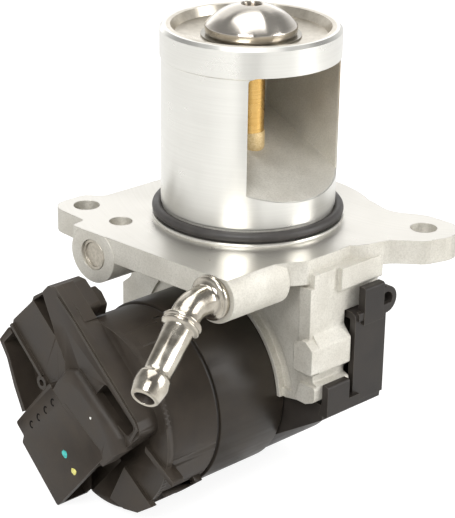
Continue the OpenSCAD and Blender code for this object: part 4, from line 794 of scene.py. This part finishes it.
def cut_plain_lug(cap):
    """Takes away the solid's plain lug, in front of the rim and outside it."""
    front = [(-12.0, 36.7), (-3.9, 30.7), (6.0, 22.6), (18.0, 28.0), (14.0, 48.0), (-14.0, 48.0),
             (-14.0, 38.5)]
    combine(cap, cap_form(front, WALL_X - 5.2, WALL_X - 0.83), "DIFFERENCE")
    around = arc_corners(0.0, 0.0, RIM_R + 0.05, range(124, 59, -4)) + [(16.0, 48.0), (-18.0, 48.0)]
    combine(cap, cap_form(around, WALL_X - 1.0, WALL_X + 3.2), "DIFFERENCE")


def add_lugs(cap):
    """Carries the duct back over the rim, and adds the small lug behind it."""
    duct_end = [(-17.8, 33.3, 0.8), (-15.0, 36.1, 1.0), (-11.7, 36.2, 1.2), (-4.6, 30.9, 1.5),
                (-8.0, 26.0), (-14.0, 26.0)]
    combine(cap, cap_form(duct_end, DUCT_X, WALL_X + 3.0), "UNION")
    small_lug = [(-13.7, 32.7, 0.8), (-10.1, 31.7, 0.8), (-7.6, 28.9, 0.8), (-8.5, 25.6),
                 (-13.5, 25.6)]
    combine(cap, cap_form(small_lug, WALL_X, WALL_X + 7.3), "UNION")


def add_stepped_bay(cap):
    """Adds the plate beside the duct, nearly at the duct's height, with the slot between them."""
    bay = [(-18.0, 33.2, 0.6), (-22.6, 30.2, 0.6), (-23.4, 28.4, 0.6), (-32.6, 19.6, 0.6),
           (-33.1, 17.9, 0.5), (-18.2, 5.6), (-10.0, 4.0), (-8.5, 14.0), (-12.4, 21.0)]
    combine(cap, cap_form(bay, DUCT_X + 0.5, WALL_X - 3.9), "UNION")
    slot = [(-22.9, 28.9, 0.3), (-18.3, 32.3, 0.3), (-12.4, 20.6, 0.2)]
    combine(cap, cap_form(slot, FACE_X - 1.0, WALL_X - 1.6), "DIFFERENCE")


def add_rib_and_boss(cap):
    """Adds the rib along the plate's edge and the small drilled boss at its foot."""
    rib = [(-32.6, 18.6), (-18.9, 7.3), (-19.5, 6.5), (-33.2, 17.8)]
    combine(cap, cap_form(rib, DUCT_X - 0.5, WALL_X - 0.5), "UNION")
    boss_at = (-18.9, 4.9)
    combine(cap, cap_form(arc_corners(*boss_at, 2.1, range(0, 360, 15)), DUCT_X - 0.4, WALL_X - 0.5),
            "UNION")
    combine(cap, cap_form(arc_corners(*boss_at, 1.05, range(0, 360, 20)), DUCT_X - 1.0, DUCT_X + 3.0),
            "DIFFERENCE")


def add_shoulder(cap):
    """Adds the soft shoulder that falls from the connector's face to the duct, as far as the pocket."""
    inner = [(10.8, -8.6), (-12.2, 4.4)]
    crest = [(-9.5, 8.4), (-6.8, 10.2), (-3.4, 11.2), (0.6, 10.6), (4.8, 8.3), (8.7, 5.2),
             (12.4, 0.6), (14.8, -3.8)]
    foot = [(-9.0, 10.5), (-6.0, 14.5), (-1.8, 15.6), (3.0, 12.4), (8.4, 8.9), (13.4, 5.6),
            (17.6, 2.2), (18.2, -1.6)]
    high = FACE_X + 0.06
    low = DUCT_X + 0.04
    sunk = 2.0
    steps = 8
    points = []
    for k in range(steps + 1):
        # From crest to foot it falls as a quarter of an ellipse
        a = math.pi / 2 * k / steps
        x = high + (low - high) * (1 - math.cos(a))
        line = [Vector(c).lerp(Vector(f), math.sin(a)) for c, f in zip(crest, foot)]
        points += [on_cap(left, up, x) for left, up in inner + line]
    sides = len(inner) + len(crest)
    points += [Vector((low + sunk, p.y, p.z)) for p in points[-sides:]]
    form = new_piece("form", points, faces_through(steps + 2, sides), "cap", smooth=False)
    shape = bmesh.new()
    shape.from_mesh(form.data)
    bmesh.ops.recalc_face_normals(shape, faces=shape.faces)
    shape.to_mesh(form.data)
    shape.free()
    combine(cap, form, "UNION")


def add_duct_lip(cap):
    """Adds the raised lip along the duct's outer edge."""
    lip = [(-10.4, 34.4), (-4.0, 29.9), (22.2, 8.9), (23.3, 6.7), (20.3, 1.9), (19.7, 2.3),
           (22.5, 6.7), (21.6, 8.5), (-4.4, 29.3), (-10.8, 33.8)]
    combine(cap, cap_form(lip, DUCT_X - 0.4, DUCT_X + 1.0), "UNION")


def cut_top_latch(cap):
    """Takes away the solid's plain latch at the top of the skirt."""
    sector = arc_corners(0.0, 0.0, SKIRT_R + 0.02, range(86, 52, -3))
    sector += arc_corners(0.0, 0.0, SKIRT_R + 3.0, range(53, 89, 3))
    combine(cap, cap_form(sector, WALL_X + 3.4, WALL_X + 30.0), "DIFFERENCE")


def finish_cap(cap):
    """One material, rounded edges, and flat faces that stay flat in the light."""
    faces = cap.data.polygons
    faces.foreach_set("use_smooth", [True] * len(faces))
    faces.foreach_set("material_index", [0] * len(faces))
    cap.data.set_sharp_from_angle(angle=math.radians(28))
    cap.data.materials.clear()
    cap.data.materials.append(MATERIALS["cap"])
    in_front = (WALL_X - 3.0) * MM
    end = cap.vertex_groups.new(name="end_faces")
    end.add([v.index for v in cap.data.vertices if v.co.x < in_front], 1.0, "REPLACE")
    round_edges(cap, width_mm=0.22)
    # At a shared point the normal leans to the largest face
    even = cap.modifiers.new("even", "WEIGHTED_NORMAL")
    even.keep_sharp = True
    even.weight = 80
    even.vertex_group = "end_faces"


def dressed_cap():
    """The cap's solid with the forms that the photo shows on its end."""
    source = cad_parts["end_cap"]
    cap = bpy.data.objects.new("dressed_cap", source.data.copy())
    scene.collection.objects.link(cap)
    join_points(cap)
    cut_plain_lug(cap)
    add_lugs(cap)
    add_stepped_bay(cap)
    add_rib_and_boss(cap)
    add_shoulder(cap)
    add_duct_lip(cap)
    cut_top_latch(cap)
    finish_cap(cap)
    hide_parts("end_cap")
    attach(cap, "housing")


# Centres of the four marks, left and up
MARKS_AT = [(-21.2, -8.5), (-17.7, -4.8), (-14.3, -1.1), (-10.9, 2.6)]
MARK_HALF_WIDTH = 0.75
MARK_HALF_HEIGHT = 1.0
MARK_WIRE_R = 0.27
MARK_END_R = 0.1
MARK_STEPS = 14
MARK_SIDES = 8


def contact_marks():
    """Four C-shaped ribs along the connector's upper edge: one over each contact. Their near black is
    painted groove shade.
    """
    for number, (left, up) in enumerate(MARKS_AT, 1):
        points = []
        for k in range(MARK_STEPS + 1):
            # The C opens to the right
            a = math.radians(50 + 260 * k / MARK_STEPS)
            centre = on_cap(left + MARK_HALF_WIDTH * math.cos(a), up + MARK_HALF_HEIGHT * math.sin(a),
                            FACE_X + 0.1)
            along = Vector((0.0, MARK_HALF_WIDTH * math.sin(a), MARK_HALF_HEIGHT * math.cos(a)))
            radius = MARK_END_R if k in (0, MARK_STEPS) else MARK_WIRE_R
            points += circle(centre, along.normalized(), Vector((1, 0, 0)), radius, MARK_SIDES)
        faces = faces_through(MARK_STEPS + 1, MARK_SIDES)
        mark = new_piece("contact_mark_%d" % number, points, faces, "deep")
        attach(mark, "housing")


DAB_SIDES = 22
# Profile of a dab from its middle outwards: share of its radius, and rise
DAB_PROFILE = [(0.45, 0.15), (0.8, 0.14), (0.95, 0.08), (1.0, -0.06)]
DAB_RISE = 0.16


def paint_dab(name, left, up, radius, finish, seed, stretch=1.0):
    """A dab of marking paint on the connector's face: an uneven blob, thickest inside its rim."""
    draw = random.Random(seed)
    edge = [radius * (0.78 + 0.4 * draw.random()) for _ in range(DAB_SIDES)]
    edge = [(edge[k - 1] + 2 * edge[k] + edge[(k + 1) % DAB_SIDES]) / 4 for k in range(DAB_SIDES)]
    points = [on_cap(left, up, FACE_X - DAB_RISE)]
    for share, rise in DAB_PROFILE:
        for k in range(DAB_SIDES):
            a = 2 * math.pi * k / DAB_SIDES
            reach = share * edge[k]
            points.append(on_cap(left + reach * math.cos(a), up + reach * math.sin(a) * stretch,
                                 FACE_X - rise))
    faces = [(0, 1 + k, 1 + (k + 1) % DAB_SIDES) for k in range(DAB_SIDES)]
    for ring in range(len(DAB_PROFILE) - 1):
        faces += band(1 + ring * DAB_SIDES, 1 + (ring + 1) * DAB_SIDES, DAB_SIDES)
    faces.append(tuple(range(len(points) - 1, len(points) - 1 - DAB_SIDES, -1)))
    dab = new_piece(name, points, faces, finish)
    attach(dab, "housing")


COLLAR_BORE_R = 4.0
COLLAR_R = 4.4
COLLAR_SIDES = 48
COLLAR_PROFILE = [(COLLAR_BORE_R, 17.6), (COLLAR_R, 17.6), (COLLAR_R, 21.8), (COLLAR_R, 24.6),
                  (COLLAR_R - 0.15, 24.9), (COLLAR_BORE_R, 25.0)]


def bush_collar():
    """Sandy collar at the foot of the guide bush, ending in a chamfer."""
    points = []
    faces = []
    for i, (radius, height) in enumerate(COLLAR_PROFILE):
        turns = [2 * math.pi * k / COLLAR_SIDES for k in range(COLLAR_SIDES)]
        points += [(radius * math.cos(a), radius * math.sin(a), height) for a in turns]
        following = (i + 1) % len(COLLAR_PROFILE)
        faces += band(following * COLLAR_SIDES, i * COLLAR_SIDES, COLLAR_SIDES)
    collar = new_piece("bush_collar", points, faces, "sandy_brass")
    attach(collar, "housing")


place_camera()
lit_floor()
light_studio()
finish_nodes()
bent_nipple()
dressed_cap()
contact_marks()
paint_dab("teal_dab", -6.0, -11.7, 1.25, "teal", seed=3)
paint_dab("yellow_dab", -2.0, -15.6, 1.25, "yellow", seed=11, stretch=0.8)
paint_dab("white_speck", 6.0, 4.4, 0.35, "speck", seed=5)
bush_collar()
